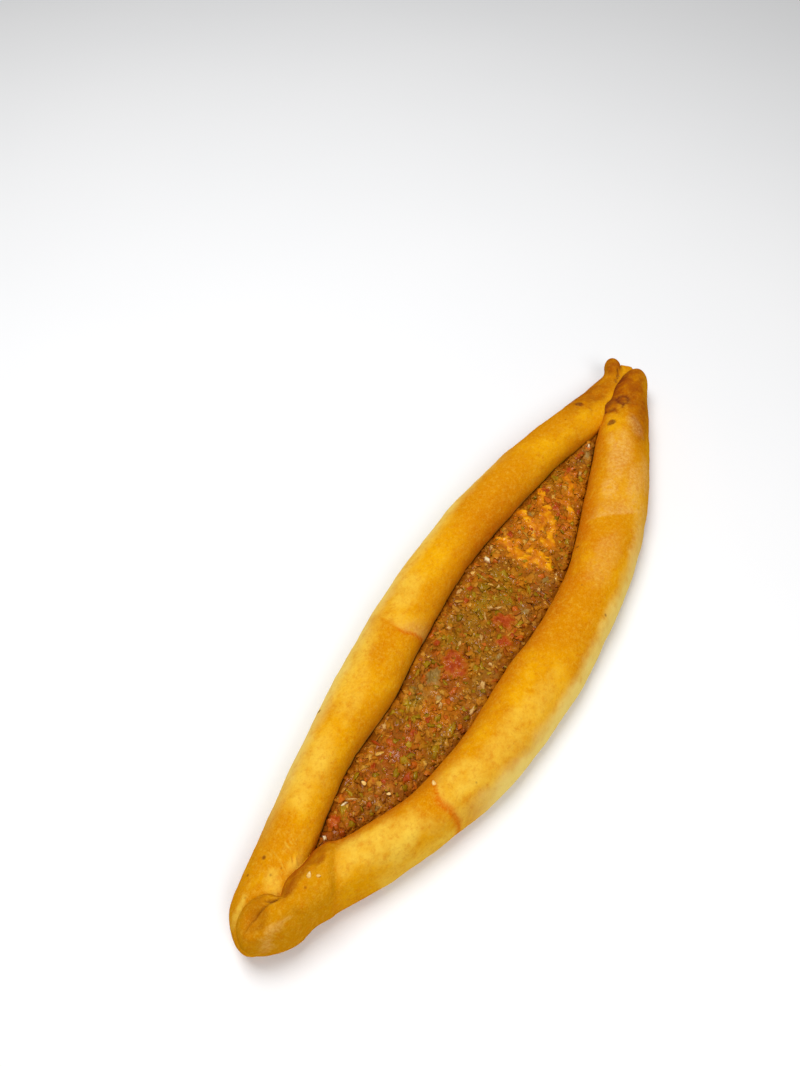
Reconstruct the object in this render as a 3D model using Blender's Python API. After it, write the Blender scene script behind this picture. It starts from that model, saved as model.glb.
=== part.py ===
"""A boat-shaped Turkish flatbread with a minced meat filling, lying flat as it is served.

Metres, +Z up, with the sizes below in millimetres. +X runs along the bread towards its slender
end and +Y towards the rim that passes underneath at both ends. The origin is under the middle of
the bread, on the surface that it lies on.

The dough is one piece: a flat sheet whose two long edges are rolled inwards into rims. The right
rim laps over the left one at both ends, and its near end (-X) is rolled up into a round knob.
"""

import math

import bmesh
import bpy
import numpy as np
from mathutils import Matrix, Vector, noise

MM = 0.001

# Plan of the rims as (along, across) pairs for each edge, and (along, height) pairs for the crown.
# Each tip is a point (along, across) and the length over which the rim rounds off towards it.
LEFT_RIM = {
    "outer": [(-202, 31), (-150, 40.5), (-96, 49.5), (-40, 55.5), (4, 56.5), (52, 53.5),
              (96, 46), (130, 37.5), (152, 31.5), (172, 26), (197, 20.5), (208.5, 17)],
    "inner": [(-202, 5), (-176, 6.5), (-150, 14), (-112, 20.8), (-70, 20.6), (-26, 24.6),
              (6, 26.2), (42, 24), (88, 17), (124, 10), (146, 2.6), (160, -4), (208.5, -4)],
    "crown": [(-202, 22), (-170, 25), (-110, 26), (0, 26), (110, 25), (145, 23), (168, 20.5),
              (188, 18.5), (208.5, 16)],
    "near_tip": (-202, 16, 18),
    "far_tip": (208.5, 9, 4.5),
}
RIGHT_RIM = {
    "outer": [(-201, 6), (-184, -1.3), (-178, -2.6), (-172, -5.7), (-159, -14), (-118, -34.5),
              (-87, -46.5), (-42, -55), (30, -56.8), (78, -52), (115, -42.5), (160, -25.5),
              (186, -14.6), (208.5, -6.5)],
    "inner": [(-201, 14), (-176, 13.4), (-171, 14.8), (-161, 12.6), (-153, 11.3), (-136, 1.2),
              (-110, -11.5), (-76, -18), (-40, -20.5), (28, -23.6), (48, -21.5), (90, -11.5),
              (136, 0.2), (146, 2.6), (154, 5.6), (161, 8.6), (169, 7.4), (180, 8.6),
              (190, 8.4), (200, 7), (208.5, 5)],
    "crown": [(-201, 26), (-184, 28), (-160, 29), (-120, 27), (0, 26), (120, 27), (160, 27),
              (190, 24), (208.5, 20)],
    "near_tip": (-201, 15, 16),
    "far_tip": (208.5, 1, 9),
}
KNOB_CENTRE, KNOB_RADIUS = (-189.3, 12.4), 12.0  # the right rim's near end is rolled up to this
CROWN_SHIFT = 0.15     # how far the crown is off the middle, towards the filling
RIM_FOOT = 0.4         # height of the rims' undersides
INNER_BULGE = 14       # height at which a rim reaches furthest over the filling
OUTER_BULGE = 6        # height at which it reaches furthest outwards
LUMP_HEIGHT = 0.55     # unevenness of hand-rolled dough
LUMP_LENGTH = 26

# The dough twists before the knob: beyond a slanting line it stands proud of the plain rim.
TWIST_FROM, TWIST_TO = (-149, 5), (-173, -10)
TWIST_HEIGHT, TWIST_WIDTH = 1.8, 3.5

# The far tip of the left rim is pinched up into a small bud.
BUD_CENTRE = (199.5, 15.5, 14.2)
BUD_RADII = (9.5, 5.5, 7)
BUD_TURN = 30

SHEET_THICK = 4.5
SHEET_ENDS = (-190, 197)
SHEET_INSET = 3.5      # how far its edge stays inside the rims' outer edges
SHEET_CHAMFER = 1

FILLING_ENDS = (-150.5, 143)
FILLING_TOP = 12
FILLING_HEAP = 1.5     # how much higher it is along its middle
FILLING_RELIEF = 0.8
FILLING_GRAIN = 13
FILLING_TUCK = 6       # how far it reaches under each rim
GAP = 0.35             # between the filling and the dough
TOPPING_GAP = 0.5

# Toppings on the filling: name, centre, length and width, turn in degrees, thickness.
TOPPINGS = [
    ("cheese_patch_1", (62, 2.5), (17.5, 12), -60, 1.3),
    ("cheese_patch_2", (42, 11), (13, 7), -60, 1.2),
    ("cheese_patch_3", (40, -5), (18, 10.5), -60, 1.3),
    ("tomato_piece_1", (-39.5, 4), (14.5, 12.5), 30, 1.9),
    ("tomato_piece_2", (-4, -7), (12, 10), -60, 1.8),
    ("tomato_piece_3", (-15.5, -12.5), (10, 7), -60, 1.6),
    ("tomato_piece_4", (-137.5, 12.5), (8.5, 5.5), 15, 1.5),
    ("tomato_piece_5", (88, 11.5), (8.5, 5.5), 20, 1.5),
    ("pepper_piece_1", (-51.5, 9.5), (10, 9), 0, 1.7),
    ("pepper_piece_2", (-130.5, 12), (7, 5), 60, 1.5),
]
TOPPING_WOBBLE = 0.28  # unevenness of their outlines

RIM_SIDES = 20
RIM_STATIONS = 50
TIP_STATIONS = 5
FILLING_ROWS = 46
FILLING_COLUMNS = 8
TOPPING_SPOKES = 16
TOPPING_RINGS = 3


def through(stations, x):
    """The value at x of a smooth curve through the stations, which are (x, value) pairs."""
    xs, ys = np.array(stations, float).T
    slopes = np.gradient(ys, xs)
    i = int(np.clip(np.searchsorted(xs, x) - 1, 0, len(xs) - 2))
    step = xs[i + 1] - xs[i]
    t = min(1.0, max(0.0, (x - xs[i]) / step))
    start = ys[i] * (1 + 2 * t) + slopes[i] * step * t
    end = ys[i + 1] * (3 - 2 * t) + slopes[i + 1] * step * (t - 1)
    return float(start * (1 - t) ** 2 + end * t ** 2)


def smooth_step(t):
    t = min(1.0, max(0.0, t))
    return t * t * (3 - 2 * t)


def signed_power(value, power):
    return math.copysign(abs(value) ** power, value)


def uneven(x, y, z, length):
    """Soft lumps of about the given length, from -1 to 1."""
    return noise.noise(Vector((x, y, z)) / length)


def tip_rounding(rim, x):
    """1 along the body of a rim, falling to 0 in a quarter round at each tip."""
    (near, _, near_length), (far, _, far_length) = rim["near_tip"], rim["far_tip"]
    t = max(1 - (x - near) / near_length, 1 - (far - x) / far_length, 0)
    return math.sqrt(max(0.0, 1 - t * t))


def edges(rim, x):
    """How far across a rim's outer and inner edge are at x."""
    tip = (rim["near_tip"] if x < 0 else rim["far_tip"])[1]
    outer, inner = (tip + (through(rim[edge], x) - tip) * tip_rounding(rim, x)
                    for edge in ("outer", "inner"))
    off = (x - KNOB_CENTRE[0]) / KNOB_RADIUS
    if rim is RIGHT_RIM and abs(off) < 1:
        inner = max(inner, KNOB_CENTRE[1] + KNOB_RADIUS * math.sqrt(1 - off * off))
    return outer, inner


def twist_rise(x, y):
    """How far the twisted end of the right rim stands proud of its plain shape."""
    along = Vector(TWIST_TO) - Vector(TWIST_FROM)
    beyond = (Vector((x, y)) - Vector(TWIST_FROM)).dot(Vector((along.y, -along.x)).normalized())
    return TWIST_HEIGHT * smooth_step(beyond / TWIST_WIDTH + 0.5)


def rim_section(rim, x, grow):
    """Points round a rim at x: flat below, round above, and fuller on the filling's side.
    grow makes it larger all round."""
    outer, inner = edges(rim, x)
    rounding = tip_rounding(rim, x)
    to_inner = 1 if rim is RIGHT_RIM else -1
    half = abs(inner - outer) / 2
    crown = through(rim["crown"], x)
    level = (crown + RIM_FOOT) / 2
    points = []
    for k in range(RIM_SIDES):
        angle = 2 * math.pi * k / RIM_SIDES
        c, s = math.cos(angle), math.sin(angle)
        bulge = (INNER_BULGE + OUTER_BULGE) / 2 + (INNER_BULGE - OUTER_BULGE) / 2 * c
        limit, power = (crown, 0.95) if s >= 0 else (RIM_FOOT, 0.55)
        shift = CROWN_SHIFT * max(0.0, s) * (1 - abs(c))
        y = (outer + inner) / 2 + to_inner * half * (signed_power(c, power) + shift)
        z = level + (bulge + abs(limit - bulge) * signed_power(s, power) - level) * rounding
        rise = grow + LUMP_HEIGHT * uneven(x, y, z, LUMP_LENGTH)
        if rim is RIGHT_RIM:
            rise += twist_rise(x, y) * (s + 1) / 2
        points.append((x, y + to_inner * c * rise, z + (s * rise if s > 0 else s * grow)))
    return points


def stations_of(rim):
    """Where along a rim its sections are: even along the body, closer together at the tips."""
    (near, _, near_length), (far, _, far_length) = rim["near_tip"], rim["far_tip"]
    turn = [math.pi / 2 * k / TIP_STATIONS for k in range(1, TIP_STATIONS)]
    body = np.linspace(near + near_length, far - far_length, RIM_STATIONS)
    return ([near + near_length * (1 - math.cos(a)) for a in turn] + [float(x) for x in body]
            + [far - far_length * (1 - math.cos(a)) for a in reversed(turn)])


def piece(name, verts, faces):
    """An object from points in millimetres."""
    mesh = bpy.data.meshes.new(name)
    mesh.from_pydata([Vector(v) * MM for v in verts], [], faces)
    turned = bmesh.new()
    turned.from_mesh(mesh)
    bmesh.ops.recalc_face_normals(turned, faces=turned.faces)
    turned.to_mesh(mesh)
    turned.free()
    obj = bpy.data.objects.new(name, mesh)
    bpy.context.scene.collection.objects.link(obj)
    return obj


def loft(name, rings, tips):
    """A closed skin over rings of equally many points, drawn to a point at each end."""
    n = len(rings[0])
    last = (len(rings) - 1) * n
    near_point, far_point = last + n, last + n + 1
    faces = []
    for k in range(n):
        after = (k + 1) % n
        faces.append((near_point, after, k))
        faces += [(r * n + k, r * n + after, (r + 1) * n + after, (r + 1) * n + k)
                  for r in range(len(rings) - 1)]
        faces.append((last + k, last + after, far_point))
    return piece(name, [p for ring in rings for p in ring] + list(tips), faces)


def rim_roll(name, rim, grow=0.0):
    rings = [rim_section(rim, x, grow) for x in stations_of(rim)]
    tips = []
    for (along, across, _), out in ((rim["near_tip"], -grow), (rim["far_tip"], grow)):
        tips.append((along + out, across, (through(rim["crown"], along) + RIM_FOOT) / 2))
    return loft(name, rings, tips)


def dough_sheet(name):
    """The flat sheet under the filling, with its lower edges chamfered."""
    rings = []
    for x in np.linspace(*SHEET_ENDS, RIM_STATIONS):
        low = through(RIGHT_RIM["outer"], x) + SHEET_INSET
        high = through(LEFT_RIM["outer"], x) - SHEET_INSET
        rings.append([(x, low, SHEET_THICK), (x, low, SHEET_CHAMFER),
                      (x, low + SHEET_CHAMFER, 0), (x, high - SHEET_CHAMFER, 0),
                      (x, high, SHEET_CHAMFER), (x, high, SHEET_THICK)])
    n = len(rings[0])
    faces = [(r * n + k, (r + 1) * n + k, (r + 1) * n + (k + 1) % n, r * n + (k + 1) % n)
             for r in range(len(rings) - 1) for k in range(n)]
    faces += [tuple(range(n)), tuple(reversed(range(len(rings) * n - n, len(rings) * n)))]
    return piece(name, [p for ring in rings for p in ring], faces)


def bud(name):
    """The small pinched bud on the left rim's far tip."""
    bpy.ops.mesh.primitive_uv_sphere_add(segments=16, ring_count=10, radius=1)
    obj = bpy.context.object
    obj.name = name
    turn = Matrix.Rotation(math.radians(BUD_TURN), 3, "Z")
    for v in obj.data.vertices:
        v.co = (Vector(BUD_CENTRE) + turn @ (v.co * Vector(BUD_RADII))) * MM
    return obj


def filling_top(x, y):
    """Height of the filling's uneven top."""
    low, high = edges(RIGHT_RIM, x)[1], edges(LEFT_RIM, x)[1]
    across = (2 * y - low - high) / max(high - low, 1)
    heap = FILLING_HEAP * max(0.0, 1 - across * across)
    return FILLING_TOP + heap + FILLING_RELIEF * uneven(x, y, 0, FILLING_GRAIN)


def filling_block(name):
    """The filling before the rims' room is taken from it: an uneven top over a flat underside."""
    top, rows, columns = [], FILLING_ROWS, FILLING_COLUMNS
    for x in np.linspace(*FILLING_ENDS, rows):
        low = edges(RIGHT_RIM, x)[1] - FILLING_TUCK
        high = edges(LEFT_RIM, x)[1] + FILLING_TUCK
        top += [(x, y, filling_top(x, y)) for y in np.linspace(low, high, columns)]
    faces = [(r * columns + k, (r + 1) * columns + k, (r + 1) * columns + k + 1, r * columns + k + 1)
             for r in range(rows - 1) for k in range(columns - 1)]
    rim = ([r * columns for r in range(rows)]
           + [(rows - 1) * columns + k for k in range(1, columns)]
           + [r * columns + columns - 1 for r in range(rows - 2, -1, -1)]
           + list(range(columns - 2, 0, -1)))
    bottom = [(top[i][0], top[i][1], SHEET_THICK + GAP) for i in rim]
    first, n = len(top), len(rim)
    faces += [(rim[k], first + k, first + (k + 1) % n, rim[(k + 1) % n]) for k in range(n)]
    faces.append(tuple(first + k for k in reversed(range(n))))
    return piece(name, top + bottom, faces)


def topping(name, centre, size, turn, thickness):
    """A flat, irregular piece that follows the filling's top, domed above."""
    spin = Matrix.Rotation(math.radians(turn), 2)
    verts = []
    for side in (0, 1):
        for ring in range(TOPPING_RINGS + 1):
            for k in range(TOPPING_SPOKES if ring else 1):
                angle = 2 * math.pi * k / TOPPING_SPOKES
                way = Vector((math.cos(angle), math.sin(angle)))
                wobble = 1 + TOPPING_WOBBLE * uneven(way.x * 5 + centre[0], way.y * 5, 0, 3)
                reach = ring / TOPPING_RINGS
                spot = Vector(centre) + spin @ (way * Vector(size) / 2) * reach * wobble
                dome = side * thickness * math.sqrt(1 - (0.85 * reach) ** 2)
                verts.append((*spot, filling_top(*spot) + TOPPING_GAP + dome))
    above = len(verts) // 2
    edge = 1 + (TOPPING_RINGS - 1) * TOPPING_SPOKES
    faces = []
    for k in range(TOPPING_SPOKES):
        after = (k + 1) % TOPPING_SPOKES
        for middle in (0, above):
            faces.append((middle, middle + 1 + k, middle + 1 + after))
            for ring in range(TOPPING_RINGS - 1):
                a = middle + 1 + ring * TOPPING_SPOKES
                b = a + TOPPING_SPOKES
                faces.append((a + k, b + k, b + after, a + after))
        faces.append((edge + k, edge + after, above + edge + after, above + edge + k))
    return piece(name, verts, faces)


def combine(obj, others, operation):
    """Join the others to obj, or cut them from it. They are kept, hidden."""
    for other in others:
        other.hide_render = True
        other.display_type = "WIRE"
        step = obj.modifiers.new(other.name, "BOOLEAN")
        step.operation, step.solver, step.object = operation, "EXACT", other


def colour(obj, name, rgb, roughness):
    material = bpy.data.materials.get(name) or bpy.data.materials.new(name)
    material.use_nodes = True
    shader = material.node_tree.nodes["Principled BSDF"]
    shader.inputs["Base Color"].default_value = (*rgb, 1)
    shader.inputs["Roughness"].default_value = roughness
    shader.inputs["Metallic"].default_value = 0
    obj.data.materials.clear()
    obj.data.materials.append(material)


def make_crust():
    crust = dough_sheet("crust")
    rolls = [rim_roll("left_roll", LEFT_RIM), rim_roll("right_roll", RIGHT_RIM), bud("bud_roll")]
    for obj in (crust, *rolls):
        colour(obj, "baked_dough", (0.80, 0.42, 0.08), 0.5)
    combine(crust, rolls, "UNION")
    return crust


def make_filling():
    filling = filling_block("meat_filling")
    room = [rim_roll("left_room", LEFT_RIM, GAP), rim_roll("right_room", RIGHT_RIM, GAP)]
    for obj in (filling, *room):
        colour(obj, "cooked_mince", (0.34, 0.12, 0.03), 0.45)
    combine(filling, room, "DIFFERENCE")
    return filling


def make_toppings():
    looks = {"cheese": ("melted_cheese", (0.85, 0.48, 0.12), 0.35),
             "tomato": ("cooked_tomato", (0.62, 0.13, 0.05), 0.3),
             "pepper": ("cooked_pepper", (0.30, 0.27, 0.10), 0.35)}
    made = []
    for name, centre, size, turn, thickness in TOPPINGS:
        obj = topping(name, centre, size, turn, thickness)
        colour(obj, *looks[name.split("_")[0]])
        made.append(obj)
    return made


def centre(crust):
    """Move everything so that the crust's bounds are centred over the origin."""
    bpy.context.view_layer.update()
    corners = [Vector(c) for c in crust.evaluated_get(bpy.context.evaluated_depsgraph_get()).bound_box]
    low = Vector([min(c[i] for c in corners) for i in range(3)])
    high = Vector([max(c[i] for c in corners) for i in range(3)])
    middle = (low + high) / 2
    for obj in bpy.data.objects:
        obj.location -= Vector((middle.x, middle.y, low.z))


def main():
    for obj in list(bpy.data.objects):
        bpy.data.objects.remove(obj, do_unlink=True)
    crust = make_crust()
    make_filling()
    make_toppings()
    centre(crust)


main()
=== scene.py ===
"""The looks of a boat-shaped Turkish flatbread with a minced meat filling.

The skin of the crust is lofted finely from the same rim sections as its solid, then given its
folds, creases and browning. The filling is a relief over a smaller core, under real granules of
mince and real bits of vegetable, with the melted cheese, tomato and pepper lying on it.

Sizes are in millimetres in the bread's own plan: +X along it towards its slender end, +Y towards
the rim that passes underneath. piece() turns them into metres in the frame.
"""

import math

import bmesh
import bpy
import numpy as np
from mathutils import Matrix, Vector, kdtree, noise


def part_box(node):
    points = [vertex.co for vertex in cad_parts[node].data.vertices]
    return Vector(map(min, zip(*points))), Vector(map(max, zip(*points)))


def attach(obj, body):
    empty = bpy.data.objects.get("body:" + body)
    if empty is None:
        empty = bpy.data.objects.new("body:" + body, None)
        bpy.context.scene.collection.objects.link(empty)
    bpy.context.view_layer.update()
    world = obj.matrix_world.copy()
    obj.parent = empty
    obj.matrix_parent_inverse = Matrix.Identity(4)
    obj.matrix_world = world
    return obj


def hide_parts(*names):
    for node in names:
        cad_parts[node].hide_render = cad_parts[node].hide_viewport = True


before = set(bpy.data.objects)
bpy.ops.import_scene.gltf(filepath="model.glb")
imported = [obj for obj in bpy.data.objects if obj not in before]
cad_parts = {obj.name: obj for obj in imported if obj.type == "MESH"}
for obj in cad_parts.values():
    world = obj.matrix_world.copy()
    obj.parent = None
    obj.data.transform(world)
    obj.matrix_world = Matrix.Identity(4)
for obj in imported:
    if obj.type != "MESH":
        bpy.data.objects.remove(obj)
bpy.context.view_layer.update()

MM = 0.001

# ---------------------------------------------------------------------------------------------
# Form of the dough, as its solid has it: (along, across) of the edges, (along, height) of crowns
# ---------------------------------------------------------------------------------------------

LEFT_RIM = {
    "outer": [(-202, 31), (-150, 40.5), (-96, 49.5), (-40, 55.5), (4, 56.5), (52, 53.5),
              (96, 46), (130, 37.5), (152, 31.5), (172, 26), (197, 20.5), (208.5, 17)],
    "inner": [(-202, 5), (-176, 6.5), (-150, 14), (-112, 20.8), (-70, 20.6), (-26, 24.6),
              (6, 26.2), (42, 24), (88, 17), (124, 10), (146, 2.6), (160, -4), (208.5, -4)],
    "crown": [(-202, 22), (-170, 25), (-110, 26), (0, 26), (110, 25), (145, 23), (168, 20.5),
              (188, 18.5), (208.5, 16)],
    "near_tip": (-202, 16, 18),
    "far_tip": (208.5, 9, 4.5),
}
RIGHT_RIM = {
    "outer": [(-201, 6), (-184, -1.3), (-178, -2.6), (-172, -5.7), (-159, -14), (-118, -34.5),
              (-87, -46.5), (-42, -55), (30, -56.8), (78, -52), (115, -42.5), (160, -25.5),
              (186, -14.6), (208.5, -6.5)],
    "inner": [(-201, 14), (-176, 13.4), (-171, 14.8), (-161, 12.6), (-153, 11.3), (-136, 1.2),
              (-110, -11.5), (-76, -18), (-40, -20.5), (28, -23.6), (48, -21.5), (90, -11.5),
              (136, 0.2), (146, 2.6), (154, 5.6), (161, 8.6), (169, 7.4), (180, 8.6),
              (190, 8.4), (200, 7), (208.5, 5)],
    "crown": [(-201, 26), (-184, 28), (-160, 29), (-120, 27), (0, 26), (120, 27), (160, 27),
              (190, 24), (208.5, 20)],
    "near_tip": (-201, 15, 16),
    "far_tip": (208.5, 1, 9),
}
KNOB_CENTRE, KNOB_RADIUS = (-189.3, 12.4), 12.0
CROWN_SHIFT = 0.15
RIM_FOOT = 0.4
INNER_BULGE, OUTER_BULGE = 14, 6
ROUND_ABOVE, ROUND_BELOW = 0.95, 0.55       # powers that fill out the section's corners
LUMP_HEIGHT, LUMP_LENGTH = 0.55, 26
TWIST_FROM, TWIST_TO = (-149, 5), (-173, -10)
TWIST_HEIGHT, TWIST_WIDTH = 1.8, 3.5
BUD_CENTRE, BUD_RADII, BUD_TURN = (199.5, 15.5, 14.2), (9.5, 5.5, 7), 30
SHEET_THICK, SHEET_ENDS, SHEET_INSET, SHEET_CHAMFER = 4.5, (-190, 197), 3.5, 1

# Which dough each face of the skin is.
SHEET, LEFT, RIGHT, BUD = range(4)

# Fineness of the skin.
SIDES_ABOVE, SIDES_BELOW = 68, 16
FINE_STEP, PLAIN_STEP = 0.75, 1.3
FINE_LENGTH = 58
TIP_STATIONS = 16
SHEET_STATIONS = 120

# ---------------------------------------------------------------------------------------------
# Numbers along curves and over the plan
# ---------------------------------------------------------------------------------------------


def through(stations, x):
    """The values at x of a smooth curve through the stations, which are (x, value) pairs."""
    xs, ys = np.array(stations, float).T
    slopes = np.gradient(ys, xs)
    x = np.clip(x, xs[0], xs[-1])
    i = np.clip(np.searchsorted(xs, x) - 1, 0, len(xs) - 2)
    step = xs[i + 1] - xs[i]
    t = (x - xs[i]) / step
    start = ys[i] * (1 + 2 * t) + slopes[i] * step * t
    end = ys[i + 1] * (3 - 2 * t) + slopes[i + 1] * step * (t - 1)
    return start * (1 - t) ** 2 + end * t ** 2


def smooth(value, low=0.0, high=1.0):
    """0 below low, 1 above high, and smooth between them."""
    t = np.clip((value - low) / (high - low), 0, 1)
    return t * t * (3 - 2 * t)


def signed_power(value, power):
    return np.sign(value) * np.abs(value) ** power


def uneven(x, y, z, length, seed=0.0):
    """Soft lumps of about the given length, from -1 to 1."""
    spots = np.stack(np.broadcast_arrays(x, y, z), -1).reshape(-1, 3) / length + seed
    values = np.array([noise.noise(Vector(s)) for s in spots])
    return values.reshape(np.broadcast(x, y, z).shape)


def lumps(x, y, z, table):
    """Lumps of several sizes added up: (height, length, seed) of each."""
    return sum(height * uneven(x, y, z, length, seed) for height, length, seed in table)


def beside(x, y, line):
    """Distance from a line of points in the plan, below 0 on its right-hand side."""
    best = np.full(x.shape, 1e9)
    side = np.ones(x.shape)
    for (ax, ay), (bx, by) in zip(line, line[1:]):
        dx, dy = bx - ax, by - ay
        t = np.clip(((x - ax) * dx + (y - ay) * dy) / (dx * dx + dy * dy), 0, 1)
        px, py = x - ax - t * dx, y - ay - t * dy
        d = np.hypot(px, py)
        nearer = d < best
        best = np.where(nearer, d, best)
        side = np.where(nearer, np.where(dx * py - dy * px >= 0, 1.0, -1.0), side)
    return best * side


def stroke(x, y, line, width):
    """1 on a line of points in the plan, falling to 0 over about its width."""
    return np.exp(-(beside(x, y, line) / width) ** 2)


def strokes(x, y, table):
    """Strokes along several lines added up: (line, strength, width) of each."""
    return sum(strength * stroke(x, y, line, width) for line, strength, width in table)


def oval(x, y, centre, reach, turn=0.0):
    """1 over the middle of an oval patch, falling smoothly to 0 at its edge."""
    c, s = math.cos(math.radians(turn)), math.sin(math.radians(turn))
    u = ((x - centre[0]) * c + (y - centre[1]) * s) / reach[0]
    v = ((y - centre[1]) * c - (x - centre[0]) * s) / reach[1]
    return 1 - smooth(np.hypot(u, v), 0.35, 1.0)


def patches(x, y, table):
    """Several ovals (centre, reach, turn, strength) together, the strongest counting."""
    total = np.zeros(x.shape)
    for centre, reach, turn, strength in table:
        total = np.maximum(total, strength * oval(x, y, centre, reach, turn))
    return total


# ---------------------------------------------------------------------------------------------
# Loft of the dough
# ---------------------------------------------------------------------------------------------


def tip_rounding(rim, x):
    """1 along the body of a rim, falling to 0 in a quarter round at each tip."""
    (near, _, near_length), (far, _, far_length) = rim["near_tip"], rim["far_tip"]
    t = np.maximum(np.maximum(1 - (x - near) / near_length, 1 - (far - x) / far_length), 0)
    return np.sqrt(np.clip(1 - t * t, 0, None))


def edges(rim, x):
    """How far across a rim's outer and inner edge are at x."""
    x = np.asarray(x, float)
    tip = np.where(x < 0, rim["near_tip"][1], rim["far_tip"][1])
    outer, inner = (tip + (through(rim[edge], x) - tip) * tip_rounding(rim, x)
                    for edge in ("outer", "inner"))
    if rim is RIGHT_RIM:
        off = (x - KNOB_CENTRE[0]) / KNOB_RADIUS
        circle = KNOB_CENTRE[1] + KNOB_RADIUS * np.sqrt(np.clip(1 - off * off, 0, None))
        inner = np.where(np.abs(off) < 1, np.maximum(inner, circle), inner)
    return outer, inner


def twist_rise(x, y):
    """How far the twisted end of the right rim stands proud of its plain shape."""
    along = Vector(TWIST_TO) - Vector(TWIST_FROM)
    across = Vector((along.y, -along.x)).normalized()
    beyond = (x - TWIST_FROM[0]) * across.x + (y - TWIST_FROM[1]) * across.y
    return TWIST_HEIGHT * smooth(beyond / TWIST_WIDTH, -0.5, 0.5)


def rim_surface(rim, x, angle):
    """Points of a rim at x, at an angle round it from its edge over the filling."""
    x, angle = np.broadcast_arrays(x, angle)
    outer, inner = edges(rim, x)
    rounding = tip_rounding(rim, x)
    to_inner = 1 if rim is RIGHT_RIM else -1
    half = np.abs(inner - outer) / 2
    crown = through(rim["crown"], x)
    level = (crown + RIM_FOOT) / 2
    c, s = np.cos(angle), np.sin(angle)
    above = s >= 0
    bulge = (INNER_BULGE + OUTER_BULGE) / 2 + (INNER_BULGE - OUTER_BULGE) / 2 * c
    limit = np.where(above, crown, RIM_FOOT)
    power = np.where(above, ROUND_ABOVE, ROUND_BELOW)
    shift = CROWN_SHIFT * np.maximum(0.0, s) * (1 - np.abs(c))
    y = (outer + inner) / 2 + to_inner * half * (signed_power(c, power) + shift)
    z = level + (bulge + np.abs(limit - bulge) * signed_power(s, power) - level) * rounding
    rise = LUMP_HEIGHT * uneven(x, y, z, LUMP_LENGTH)
    if rim is RIGHT_RIM:
        rise = rise + twist_rise(x, y) * (s + 1) / 2
    return np.stack([x, y + to_inner * c * rise, z + np.where(above, s * rise, 0)], -1)


def stations_of(rim):
    """Where along a rim its sections are: closest together at the folded ends."""
    (near, _, near_length), (far, _, far_length) = rim["near_tip"], rim["far_tip"]
    turn = np.pi / 2 * np.arange(1, TIP_STATIONS) / TIP_STATIONS
    start, end = near + near_length, far - far_length
    runs = [(start, start + FINE_LENGTH, FINE_STEP),
            (start + FINE_LENGTH, end - FINE_LENGTH, PLAIN_STEP),
            (end - FINE_LENGTH, end, FINE_STEP)]
    body = [np.linspace(a, b, round((b - a) / step), endpoint=False) for a, b, step in runs]
    return np.concatenate([near + near_length * (1 - np.cos(turn)), *body, [end],
                           (far - far_length * (1 - np.cos(turn)))[::-1]])


def new_mesh(name, points, faces):
    """A mesh from points in millimetres, with its faces turned outwards."""
    mesh = bpy.data.meshes.new(name)
    mesh.from_pydata([tuple(p) for p in points], [], faces)
    turned = bmesh.new()
    turned.from_mesh(mesh)
    bmesh.ops.recalc_face_normals(turned, faces=turned.faces)
    turned.to_mesh(mesh)
    turned.free()
    return mesh


def numbers(items, field, width=1, kind=float):
    """A field of all of a mesh's points, faces or corners as an array."""
    values = np.empty(len(items) * width, kind)
    items.foreach_get(field, values)
    return values.reshape(-1, width) if width > 1 else values


def mark(mesh, name, values, domain="POINT"):
    """A number for each point or face corner of a mesh, for its material to read."""
    mesh.attributes.new(name, "FLOAT", domain).data.foreach_set("value", values)


def show(name, data):
    """A new object in the scene."""
    obj = bpy.data.objects.new(name, data)
    bpy.context.scene.collection.objects.link(obj)
    return obj


def quad(row, column, columns):
    """The corners of one face in a grid of points."""
    at = row * columns + column
    return at, at + columns, at + columns + 1, at + 1


def grid_faces(rows, columns, first=0):
    """Quads over a closed ring of columns repeated in rows."""
    return [(first + r * columns + k, first + r * columns + (k + 1) % columns,
             first + (r + 1) * columns + (k + 1) % columns, first + (r + 1) * columns + k)
            for r in range(rows - 1) for k in range(columns)]


def rim_roll(name, rim, dough):
    """One rolled rim as a closed skin."""
    stations = stations_of(rim)
    angles = np.concatenate([np.linspace(0, np.pi, SIDES_ABOVE, endpoint=False),
                             np.linspace(np.pi, 2 * np.pi, SIDES_BELOW, endpoint=False)])
    points = rim_surface(rim, stations[:, None], angles[None, :]).reshape(-1, 3)
    n, rows = len(angles), len(stations)
    tips = [(along, across, (through(rim["crown"], along) + RIM_FOOT) / 2)
            for along, across, _ in (rim["near_tip"], rim["far_tip"])]
    last = (rows - 1) * n
    faces = grid_faces(rows, n)
    faces += [(rows * n, (k + 1) % n, k) for k in range(n)]
    faces += [(last + k, last + (k + 1) % n, rows * n + 1) for k in range(n)]
    return doughy(show(name, new_mesh(name, [*points, *tips], faces)), dough)


def doughy(obj, dough):
    """Mark which dough an object's faces are."""
    while len(obj.data.materials) < 4:
        obj.data.materials.append(None)
    obj.data.polygons.foreach_set("material_index", [dough] * len(obj.data.polygons))
    return obj


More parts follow.
